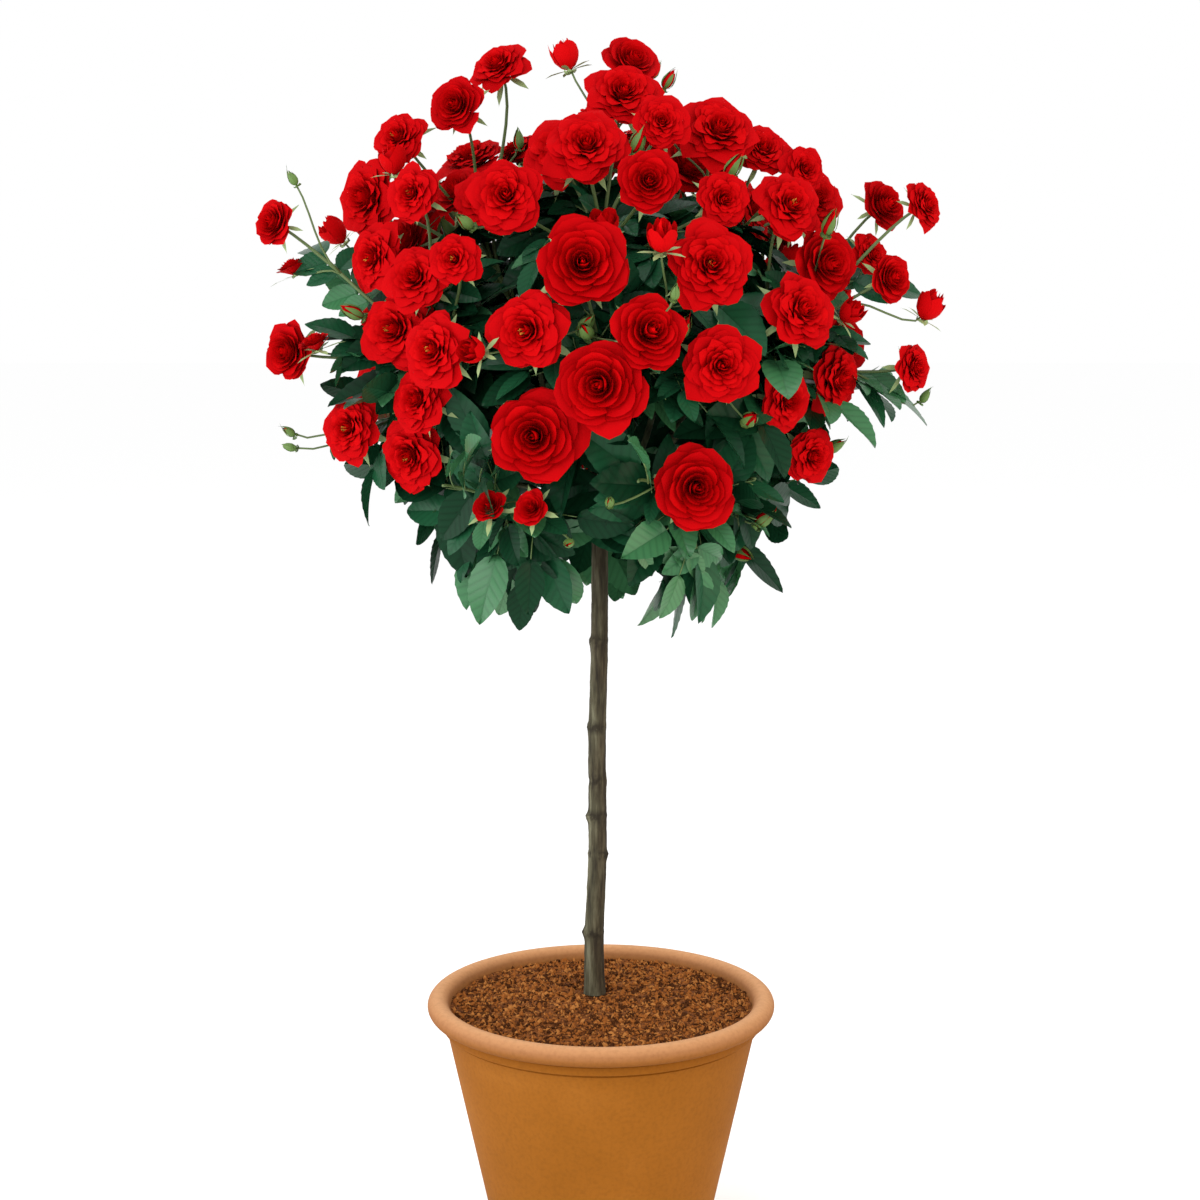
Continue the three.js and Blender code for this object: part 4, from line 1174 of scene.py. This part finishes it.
def pot_rings():
    """The pot's section from its underside up the wall, over the bead and down to the floor inside."""
    collar_foot = NECK_HEIGHT - POT.collar_height
    collar = POT.collar_radius
    fine = POT_MESH

    def body(height):
        return mix(POT.base_radius, POT.neck_radius, height / NECK_HEIGHT)

    section = []
    for i in range(fine.foot_steps + 1):
        angle = i / fine.foot_steps * math.pi / 2
        radius = POT.base_radius - POT.foot_chamfer * (1 - math.sin(angle))
        section.append((radius, POT.foot_chamfer * (1 - math.cos(angle))))
    heights = np.linspace(fine.wall_from, collar_foot - fine.wall_to, fine.wall_rings)
    section += [(body(height), height) for height in heights]
    groove = body(collar_foot) - fine.groove
    section += [
        (groove, collar_foot - fine.groove_width),
        (groove, collar_foot),
        (collar - fine.collar_edge[0], collar_foot + fine.collar_edge[1]),
        (collar, collar_foot + fine.collar_from),
        (collar, NECK_HEIGHT - fine.collar_to),
        (collar - fine.groove, NECK_HEIGHT - fine.groove_width),
    ]
    middle = (POT.rim_radius + POT.rim_inner_radius) / 2
    half = (POT.rim_radius - POT.rim_inner_radius) / 2
    for i in range(fine.bead_steps + 1):
        angle = mix(POT.bead_from, 1, i / fine.bead_steps) * math.pi
        height = BEAD_HEIGHT + POT.bead_half_height * math.sin(angle)
        section.append((middle + half * math.cos(angle), height))
    section += [(WALL_TOP_RADIUS, NECK_HEIGHT), (POT.base_radius - POT.floor_inset, POT.floor)]
    return [(0, 0, height, radius) for radius, height in section]


def make_pot():
    pot = drawn_up("pot_shell", pot_rings(), POT_MESH.sides)
    for i in range(POT.drain_holes):
        angle = i * ROUND / POT.drain_holes
        place = (POT.drain_circle * math.cos(angle) * MM, POT.drain_circle * math.sin(angle) * MM, 0)
        bpy.ops.object.select_all(action="DESELECT")
        bpy.ops.mesh.primitive_cylinder_add(
            vertices=POT_MESH.drain_sides, radius=POT.drain_radius * MM, depth=POT_MESH.drill_depth * MM,
            location=place)
        drill = bpy.context.object
        modified(pot, "BOOLEAN", operation="DIFFERENCE", object=drill, solver="EXACT")
        bpy.data.objects.remove(drill)
    finished(pot, POT_MESH.smooth, terracotta(), "terracotta", "pot")


def soil_edge_radius():
    rise = (SOIL_EDGE_HEIGHT - NECK_HEIGHT) / (BEAD_HEIGHT - NECK_HEIGHT)
    return mix(WALL_TOP_RADIUS, POT.rim_inner_radius, rise) - GAP


def soil_height(radius):
    """Height of the compost at a distance from the pot's middle."""
    share = np.clip((radius / soil_edge_radius() - SOIL.flat_share) / (1 - SOIL.flat_share), 0, 1)
    return mix(SOIL_TOP_HEIGHT, SOIL_EDGE_HEIGHT, smooth(share))


def make_soil():
    radii = np.linspace(soil_edge_radius(), BED.middle, BED.rings)
    rings = [(0, 0, NECK_HEIGHT - BED.depth, WALL_TOP_RADIUS - BED.foot_inset)]
    rings += [(0, 0, NECK_HEIGHT, WALL_TOP_RADIUS - GAP)]
    rings += [(0, 0, float(soil_height(radius)), radius) for radius in radii]
    soil = drawn_up("soil_bed", rings, BED.sides)
    lumps = bpy.data.textures.new("soil_lumps", "CLOUDS")
    set_up(lumps, noise_scale=BED.lump * MM, noise_depth=BED.lump_depth)
    modified(soil, "DISPLACE", texture=lumps, texture_coords="LOCAL", direction="Z",
             mid_level=BED.lump_level, strength=BED.lump_height * MM)
    bpy.data.textures.remove(lumps)
    finished(soil, BED.smooth, compost_bed(), "compost", "soil")


def make_crumbs(dice):
    """Crumbs and fibres of compost, lying on the bed in three shades."""
    for shade, count in CRUMB_COUNTS.items():
        total = count + FIBRE.count
        radius = (soil_edge_radius() - CRUMB.edge) * np.sqrt(dice.random(total))
        turn = dice.uniform(0, ROUND, total)
        flat = np.stack([radius * np.cos(turn), radius * np.sin(turn)], axis=1)
        off_trunk = np.linalg.norm(flat - np.array(TRUNK.foot, dtype=float), axis=1)
        inside = off_trunk < TRUNK.foot_radius + TRUNK.flare + CRUMB.trunk_clear
        flat[inside] = flat[inside] * CRUMB.moved[0] + CRUMB.moved[1]
        place = np.concatenate([flat, soil_height(np.linalg.norm(flat, axis=1))[:, None]], axis=1)
        size = mix(*CRUMB.sizes, dice.random(total) ** CRUMB.small_power)[:, None, None]
        size[count:] = FIBRE.size
        stretch = dice.uniform(*CRUMB.stretch, (total, 1, 3))
        stretch[count:] = stretch[count:] * FIBRE.slim
        stretch[count:, :, 0] = dice.uniform(*FIBRE.stretch, (FIBRE.count, 1))
        spin = dice.uniform(0, ROUND, (total, 1))
        lumps = OCTAHEDRON[None] * stretch * dice.uniform(*CRUMB.uneven, (total, len(OCTAHEDRON), 1)) * size
        x, y, z = np.moveaxis(lumps, 2, 0)
        tilt = dice.uniform(-CRUMB.tilt, CRUMB.tilt, (total, 1))
        tilt[count:] = tilt[count:] * FIBRE.tilt
        ways = [x * np.cos(spin) - y * np.sin(spin), x * np.sin(spin) + y * np.cos(spin), z + x * tilt]
        points = np.stack(ways, axis=2) + place[:, None]
        faces = repeated(OCTAHEDRON_FACES, total, len(OCTAHEDRON))
        shape = {"points": points.reshape(-1, 3), "faces": faces}
        joined_piece(f"soil_{shade}", [shape], plain_finish(shade), "compost", ["soil"], smooth_faces=False)


# Bark: trunk and boughs with their relief

def ripple(a, b, seeds):
    """Smooth uneven waves from -1 to 1 over two coordinates, the same each time."""
    total = 0
    for i, seed in enumerate(seeds):
        wave = np.sin(a * (1 + i * RIPPLE.round) + seed)
        total = total + wave * np.cos(b * (1 + i * RIPPLE.along) + seed * RIPPLE.phase)
    return total / len(seeds)


def hump(offset, width):
    return np.exp(-((offset / width) ** 2))


def bark_relief(height, turn):
    """How far the bark stands out at a height and turn: ridges, ripples, scar rings and knobs."""
    relief = 0
    for share, (waves_round, waves_up, phases) in ((1, BARK.ridges), (BARK.fine_share, BARK.fine)):
        relief = relief + share * BARK.relief * ripple(turn * waves_round, height * waves_up, phases)
    above, width, depth = BARK.scar_groove
    for scar in TRUNK.scars:
        ring = hump(height - scar, BARK.scar_lip) - depth * hump(height - scar - above, width)
        relief = relief + BARK.scar_relief * ring
    for knob, azimuth, stand in KNOBS:
        way = math.atan2(-math.cos(math.radians(azimuth)), math.sin(math.radians(azimuth)))
        swing = np.angle(np.exp(1j * (turn - way)))
        bulge = hump(height - knob + BARK.knob_drop, BARK.knob_height) * hump(swing, BARK.knob_width)
        swell = TRUNK.scar_swell * np.maximum(0, 1 - np.abs(height - knob) / TRUNK.scar_span)
        relief = relief + stand * bulge - swell * (1 - hump(swing, BARK.far_side))
    return relief


def make_trunk():
    rings = [(*trunk_point(share), trunk_radius(share)) for share in np.linspace(0, 1, BARK.rings)]
    trunk = drawn_up("trunk_bark", rings, BARK.sides)
    points = np.empty(len(trunk.data.vertices) * 3)
    trunk.data.vertices.foreach_get("co", points)
    points = points.reshape(-1, 3) / MM
    height = points[:, 2]
    middle = np.array([trunk_point(min(max(share, 0), 1)) for share in trunk_share(height)])
    out = points[:, :2] - middle[:, :2]
    relief = bark_relief(height, np.arctan2(out[:, 1], out[:, 0]))
    relief[(height < TRUNK_FOOT_HEIGHT + BARK.flat_end) | (height > TRUNK.top - BARK.flat_end)] = 0
    points[:, :2] += out / np.linalg.norm(out, axis=1, keepdims=True) * relief[:, None]
    trunk.data.vertices.foreach_set("co", (points * MM).ravel())
    trunk.data.update()
    finished(trunk, BARK.smooth, bark(), "bark", "trunk")


def make_boughs(growth):
    turns = np.arange(BOUGH_BARK.sides) * ROUND / BOUGH_BARK.sides * BOUGH_BARK.round
    along = np.arange(BOUGH_BARK.rings)[:, None] * BOUGH_BARK.along
    lines = []
    for index, mass in enumerate(growth):
        curve = bough_curve(mass.spray)
        line, radii = tapered(curve, (BOUGH.base_radius, BOUGH.tip_radius), BOUGH_BARK.rings)
        phases = (index, index + BOUGH_BARK.phases[0], BOUGH_BARK.phases[1])
        lines.append((line, radii[:, None] * (1 + BOUGH_BARK.relief * ripple(turns, along, phases))))
    nodes = [f"bough_{mass.spray.name}" for mass in growth]
    joined_piece("bough_bark", tube_batches(lines, BOUGH_BARK.sides), bough_bark(), "cane", nodes)


# Crown pieces

def make_crown():
    """The boughs, and all that grows on them as pieces sorted by kind."""
    growth, tips = grow_crown()
    dice = np.random.default_rng(FINE_SEED)
    make_boughs(growth)
    add_inner_leaves(growth, tips, dice)
    add_far_leaves(growth)
    leaflets, leaf_stalks = make_leaflets(growth, tips, dice)
    buds = make_buds(growth, tips, dice)
    masses = [f"foliage_{mass.spray.name}" for mass in growth]

    def crown_piece(name, shapes, material):
        joined_piece(name, shapes, material, "foliage", masses)

    lines = []
    for mass in growth:
        lines.append((np.linspace(*mass.stem, STEM_POINTS), np.linspace(*STEM_RADII, STEM_POINTS)))
        lines += [tapered(twig.curve, TWIG_RADII, TWIG_POINTS) for twig in mass.twigs]
    lines += [bud_stalk(bud) for bud in buds]
    crown_piece("foliage_twigs", tube_batches(lines, TWIG_TUBE_SIDES), plain_finish("twig"))
    stalks = tube_batches(leaf_stalks, STALK_TUBE_SIDES)
    crown_piece("foliage_leaf_stalks", stalks, plain_finish("leaf_stalk"))
    for shade in LEAF_COLOURS:
        group = [leaflet for leaflet in leaflets if leaflet.shade == shade]
        crown_piece(f"foliage_{shade}", [blade_batch(group, dice)], leaf_finish(shade))
    for kind, shapes in make_flowers(growth, buds, dice).items():
        crown_piece(f"flower_{kind}", shapes, plain_finish(kind))


# Finishes

class Finish:
    """A material and its shader, with helpers that add a node and give back its output."""

    def __init__(self, name, roughness, shine):
        self.material = bpy.data.materials.new(name)
        self.material.use_nodes = True
        self.tree = self.material.node_tree
        self.shader = next(node for node in self.tree.nodes if node.type == "BSDF_PRINCIPLED")
        self.feed(self.shader, {"Roughness": roughness, "Specular IOR Level": shine})

    def feed(self, node, inputs):
        """Sets a node's inputs to numbers, vectors and colours, or to the outputs of other nodes."""
        for name, value in inputs.items():
            socket = node.inputs[name]
            if isinstance(value, bpy.types.NodeSocket):
                self.tree.links.new(value, socket)
            elif socket.type == "RGBA":
                socket.default_value = (*value, 1)
            else:
                socket.default_value = value

    def add(self, kind, output, inputs, **settings):
        node = set_up(self.tree.nodes.new("ShaderNode" + kind), **settings)
        self.feed(node, inputs)
        return node.outputs[output]

    def math(self, operation, *values):
        return self.add("Math", 0, dict(enumerate(values)), operation=operation)

    def place(self, stretch=(1, 1, 1)):
        """Object coordinates, stretched."""
        return self.add("Mapping", "Vector", {"Vector": self.add("TexCoord", "Object", {}), "Scale": stretch})

    def axis(self, vector, name):
        return self.add("SeparateXYZ", name, {"Vector": vector})

    def noise(self, scale, detail, roughness=0.55, stretch=(1, 1, 1)):
        inputs = {"Vector": self.place(stretch), "Scale": scale, "Detail": detail, "Roughness": roughness}
        return self.add("TexNoise", "Fac", inputs)

    def share(self, value, low, high):
        """How far a value has come from low to high, from 0 to 1."""
        return self.add("MapRange", "Result", {"Value": value, "From Min": low, "From Max": high})

    def ramp(self, value, *stops):
        """Colours by a value, from stops of place and colour."""
        colour = self.add("ValToRGB", "Color", {"Fac": value})
        elements = colour.node.color_ramp.elements
        while len(elements) < len(stops):
            elements.new(1.0)
        for element, (place, tint) in zip(elements, stops):
            element.position = place
            element.color = (*tint, 1)
        return colour

    def mixed(self, share, first, second, blend="MIX"):
        """Two colours mixed by a share."""
        return self.add("Mix", 2, {"Factor": share, 6: first, 7: second}, data_type="RGBA", blend_type=blend)

    def bump(self, height, strength, depth, under=None):
        """A relief with its depth in millimetres, over another one if there is any."""
        inputs = {"Height": height, "Strength": strength, "Distance": depth * MM}
        return self.add("Bump", "Normal", inputs | ({"Normal": under} if under else {}))

    def done(self, colour, normal=None):
        """Feeds the shader and gives back the material."""
        self.feed(self.shader, {"Base Color": colour} | ({"Normal": normal} if normal else {}))
        return self.material


def plain_finish(name):
    *colour, roughness, shine = PLAIN_COLOURS[name]
    return Finish(name, roughness, shine).done(colour)


def leaf_finish(name):
    """A glossy leaf with a sunken midrib and side veins, drawn on each blade."""
    blade_colour, vein_colour, shine = LEAF_COLOURS[name]
    finish = Finish(name, LEAF_ROUGHNESS, shine)
    blade = finish.add("UVMap", "UV", {}, uv_map="blade")
    off_rib = finish.math("ABSOLUTE", finish.math("SUBTRACT", finish.axis(blade, "X"), 0.5))
    slant = finish.math("MULTIPLY", off_rib, VEIN.slant)
    phase = finish.math("SUBTRACT", finish.axis(blade, "Y"), slant)
    stripe = finish.math("PINGPONG", finish.math("MULTIPLY", phase, VEIN.count), 0.5)
    side_vein = finish.math("SMOOTH_MIN", finish.math("MULTIPLY", stripe, VEIN.sharp), 1.0, VEIN.soft)
    midrib = finish.math("MINIMUM", finish.math("MULTIPLY", off_rib, VEIN.midrib_sharp), 1.0)
    panel = finish.math("MULTIPLY", side_vein, midrib)
    colour = finish.mixed(panel, vein_colour, blade_colour)
    return finish.done(colour, finish.bump(panel, VEIN.strength, VEIN.depth))


def terracotta():
    """Fired clay: orange body with painted shade under the bead, a bead that pales towards its top, partly in
    its own colour and partly as painted light on its top and painted shade on its underside, clouds, fine
    grain and turning lines.
    """
    finish = Finish("terracotta_clay", 0.82, 0.12)
    grain = finish.noise(scale=320, detail=3)
    height = finish.axis(finish.place(), "Z")
    body = finish.ramp(
        finish.noise(scale=9, detail=3),
        (0.3, (0.235, 0.078, 0.005)), (0.52, (0.262, 0.088, 0.007)), (0.72, (0.30, 0.106, 0.012)))
    # Painted shade: the body darkens towards the neck, under the bead
    painted_shade_share = finish.share(height, (NECK_HEIGHT - SHADE_UNDER_BEAD) * MM, NECK_HEIGHT * MM)
    body = finish.mixed(painted_shade_share, body, (0.210, 0.065, 0.003))
    # The bead pales towards its top: partly its own paler clay, partly painted light on top and painted shade
    # underneath
    bead = finish.ramp(
        finish.share(height, NECK_HEIGHT * MM, POT.height * MM),
        (0.0, (0.205, 0.064, 0.004)), (0.35, (0.25, 0.092, 0.020)), (0.65, (0.33, 0.142, 0.055)),
        (0.9, (0.50, 0.242, 0.108)), (1.0, (0.61, 0.312, 0.148)))
    on_bead = finish.share(height, (NECK_HEIGHT - BEAD_BLEND[0]) * MM, (NECK_HEIGHT + BEAD_BLEND[1]) * MM)
    speckle = finish.ramp(grain, (0.30, (0.82, 0.80, 0.78)), (0.55, (1, 1, 1)), (0.8, (1.06, 1.06, 1.06)))
    colour = finish.mixed(0.6, finish.mixed(on_bead, body, bead), speckle, "MULTIPLY")
    lines = finish.bump(finish.noise(scale=1, detail=2, stretch=(2, 2, 260)), strength=0.18, depth=0.4)
    return finish.done(colour, finish.bump(grain, strength=0.22, depth=0.25, under=lines))


def compost_bed():
    """Damp brown compost, with painted shade in the hollows between its crumbs."""
    finish = Finish("compost_bed", 0.95, 0.15)
    coarse = finish.noise(scale=260, detail=6, roughness=0.7)
    # Painted shade: the low parts of the same relief, the hollows, get the darkest colour
    brown = finish.ramp(
        coarse, (0.34, (0.044, 0.012, 0.003)), (0.5, (0.19, 0.056, 0.010)), (0.66, (0.34, 0.118, 0.027)))
    return finish.done(brown, finish.bump(coarse, strength=0.9, depth=2.5))


def bark():
    """Grey-green bark with long streaks, fine cracks and brown patches, with painted shade that makes the
    right-hand side browner and darker.
    """
    finish = Finish("stem_bark", 0.85, 0.25)
    streaks = finish.noise(scale=210, detail=5, roughness=0.6, stretch=(1, 1, 0.12))
    patches = finish.noise(scale=34, detail=4, stretch=(1, 1, 0.4))
    cracks = finish.noise(scale=480, detail=3, roughness=0.65, stretch=(1, 1, 0.3))
    blots = finish.noise(scale=120, detail=3, roughness=0.6, stretch=(1, 1, 0.8))
    grey = finish.ramp(
        streaks, (0.32, (0.020, 0.017, 0.010)), (0.5, (0.066, 0.060, 0.034)), (0.68, (0.155, 0.148, 0.095)))
    brown = finish.ramp(
        streaks, (0.32, (0.011, 0.007, 0.004)), (0.5, (0.032, 0.023, 0.012)), (0.68, (0.070, 0.055, 0.031)))
    # Painted shade: the bark turns browner and darker towards the right, away from the light
    painted_shade_rightwards = finish.math("MULTIPLY", finish.axis(finish.place(), "X"), PAINTED_SHADE_TO_THE_RIGHT)
    shaded = finish.ramp(finish.math("ADD", patches, painted_shade_rightwards), (0.30, (0, 0, 0)), (0.54, (1, 1, 1)))
    height = finish.axis(finish.place(), "Z")
    scars = 0.0
    for knob, _, _ in KNOBS:
        off = finish.math("ABSOLUTE", finish.math("SUBTRACT", height, knob * MM))
        scars = finish.math("MAXIMUM", scars, finish.share(off, KNOB_MARK[0] * MM, KNOB_MARK[1] * MM))
    mark = finish.ramp(blots, (0.44, (0, 0, 0)), (0.58, (0.85, 0.85, 0.85)))
    colour = finish.mixed(
        finish.math("MULTIPLY", scars, mark), finish.mixed(shaded, grey, brown), (0.012, 0.008, 0.004))
    rough = finish.bump(streaks, strength=0.6, depth=0.9)
    return finish.done(colour, finish.bump(cracks, strength=0.4, depth=0.4, under=rough))


def bough_bark():
    """Young olive bark of the boughs, browner in streaks."""
    finish = Finish("bough_bark", 0.7, 0.5)
    streaks = finish.noise(scale=160, detail=4, roughness=0.6, stretch=(1, 1, 0.5))
    olive = finish.ramp(
        streaks, (0.35, (0.030, 0.030, 0.014)), (0.52, (0.060, 0.072, 0.028)), (0.7, (0.105, 0.125, 0.055)))
    return finish.done(olive, finish.bump(streaks, strength=0.5, depth=0.5))


# Stage: floor, light and camera

def make_stage():
    bpy.ops.object.select_all(action="DESELECT")
    bpy.ops.mesh.primitive_plane_add(size=FLOOR_SIZE, location=(0, 0, 0))
    floor = bpy.context.object
    floor.name = "floor"
    floor.data.materials.append(Finish("pale_floor", 1.0, 0.0).done(FLOOR_COLOUR))
    world = bpy.data.worlds.new("studio")
    bpy.context.scene.world = world
    world.use_nodes = True
    backdrop = next(node for node in world.node_tree.nodes if node.type == "BACKGROUND")
    backdrop.inputs["Color"].default_value = (1, 1, 1, 1)
    backdrop.inputs["Strength"].default_value = BACKDROP_STRENGTH
    for name, place, target, size, power, tint in LAMPS:
        lamp = set_up(bpy.data.lights.new(name, "AREA"), size=size, energy=power, color=tint)
        away = unit(np.array(place) - np.array(target))
        turn = (math.acos(away[2]), 0, math.atan2(away[0], -away[1]))
        placed(name, lamp, location=place, rotation_euler=turn)
    bpy.context.scene.view_settings.view_transform = "Standard"


def make_camera():
    lens = bpy.data.cameras.new("camera")
    set_up(lens, lens=CAMERA.lens, sensor_width=CAMERA.sensor, clip_end=CAMERA.far)
    turn = (math.radians(90 - CAMERA.pitch), 0, 0)
    bpy.context.scene.camera = placed("camera", lens, location=CAMERA.place, rotation_euler=turn)


make_camera()
make_stage()
make_pot()
make_soil()
make_crumbs(np.random.default_rng(FINE_SEED))
make_trunk()
make_crown()
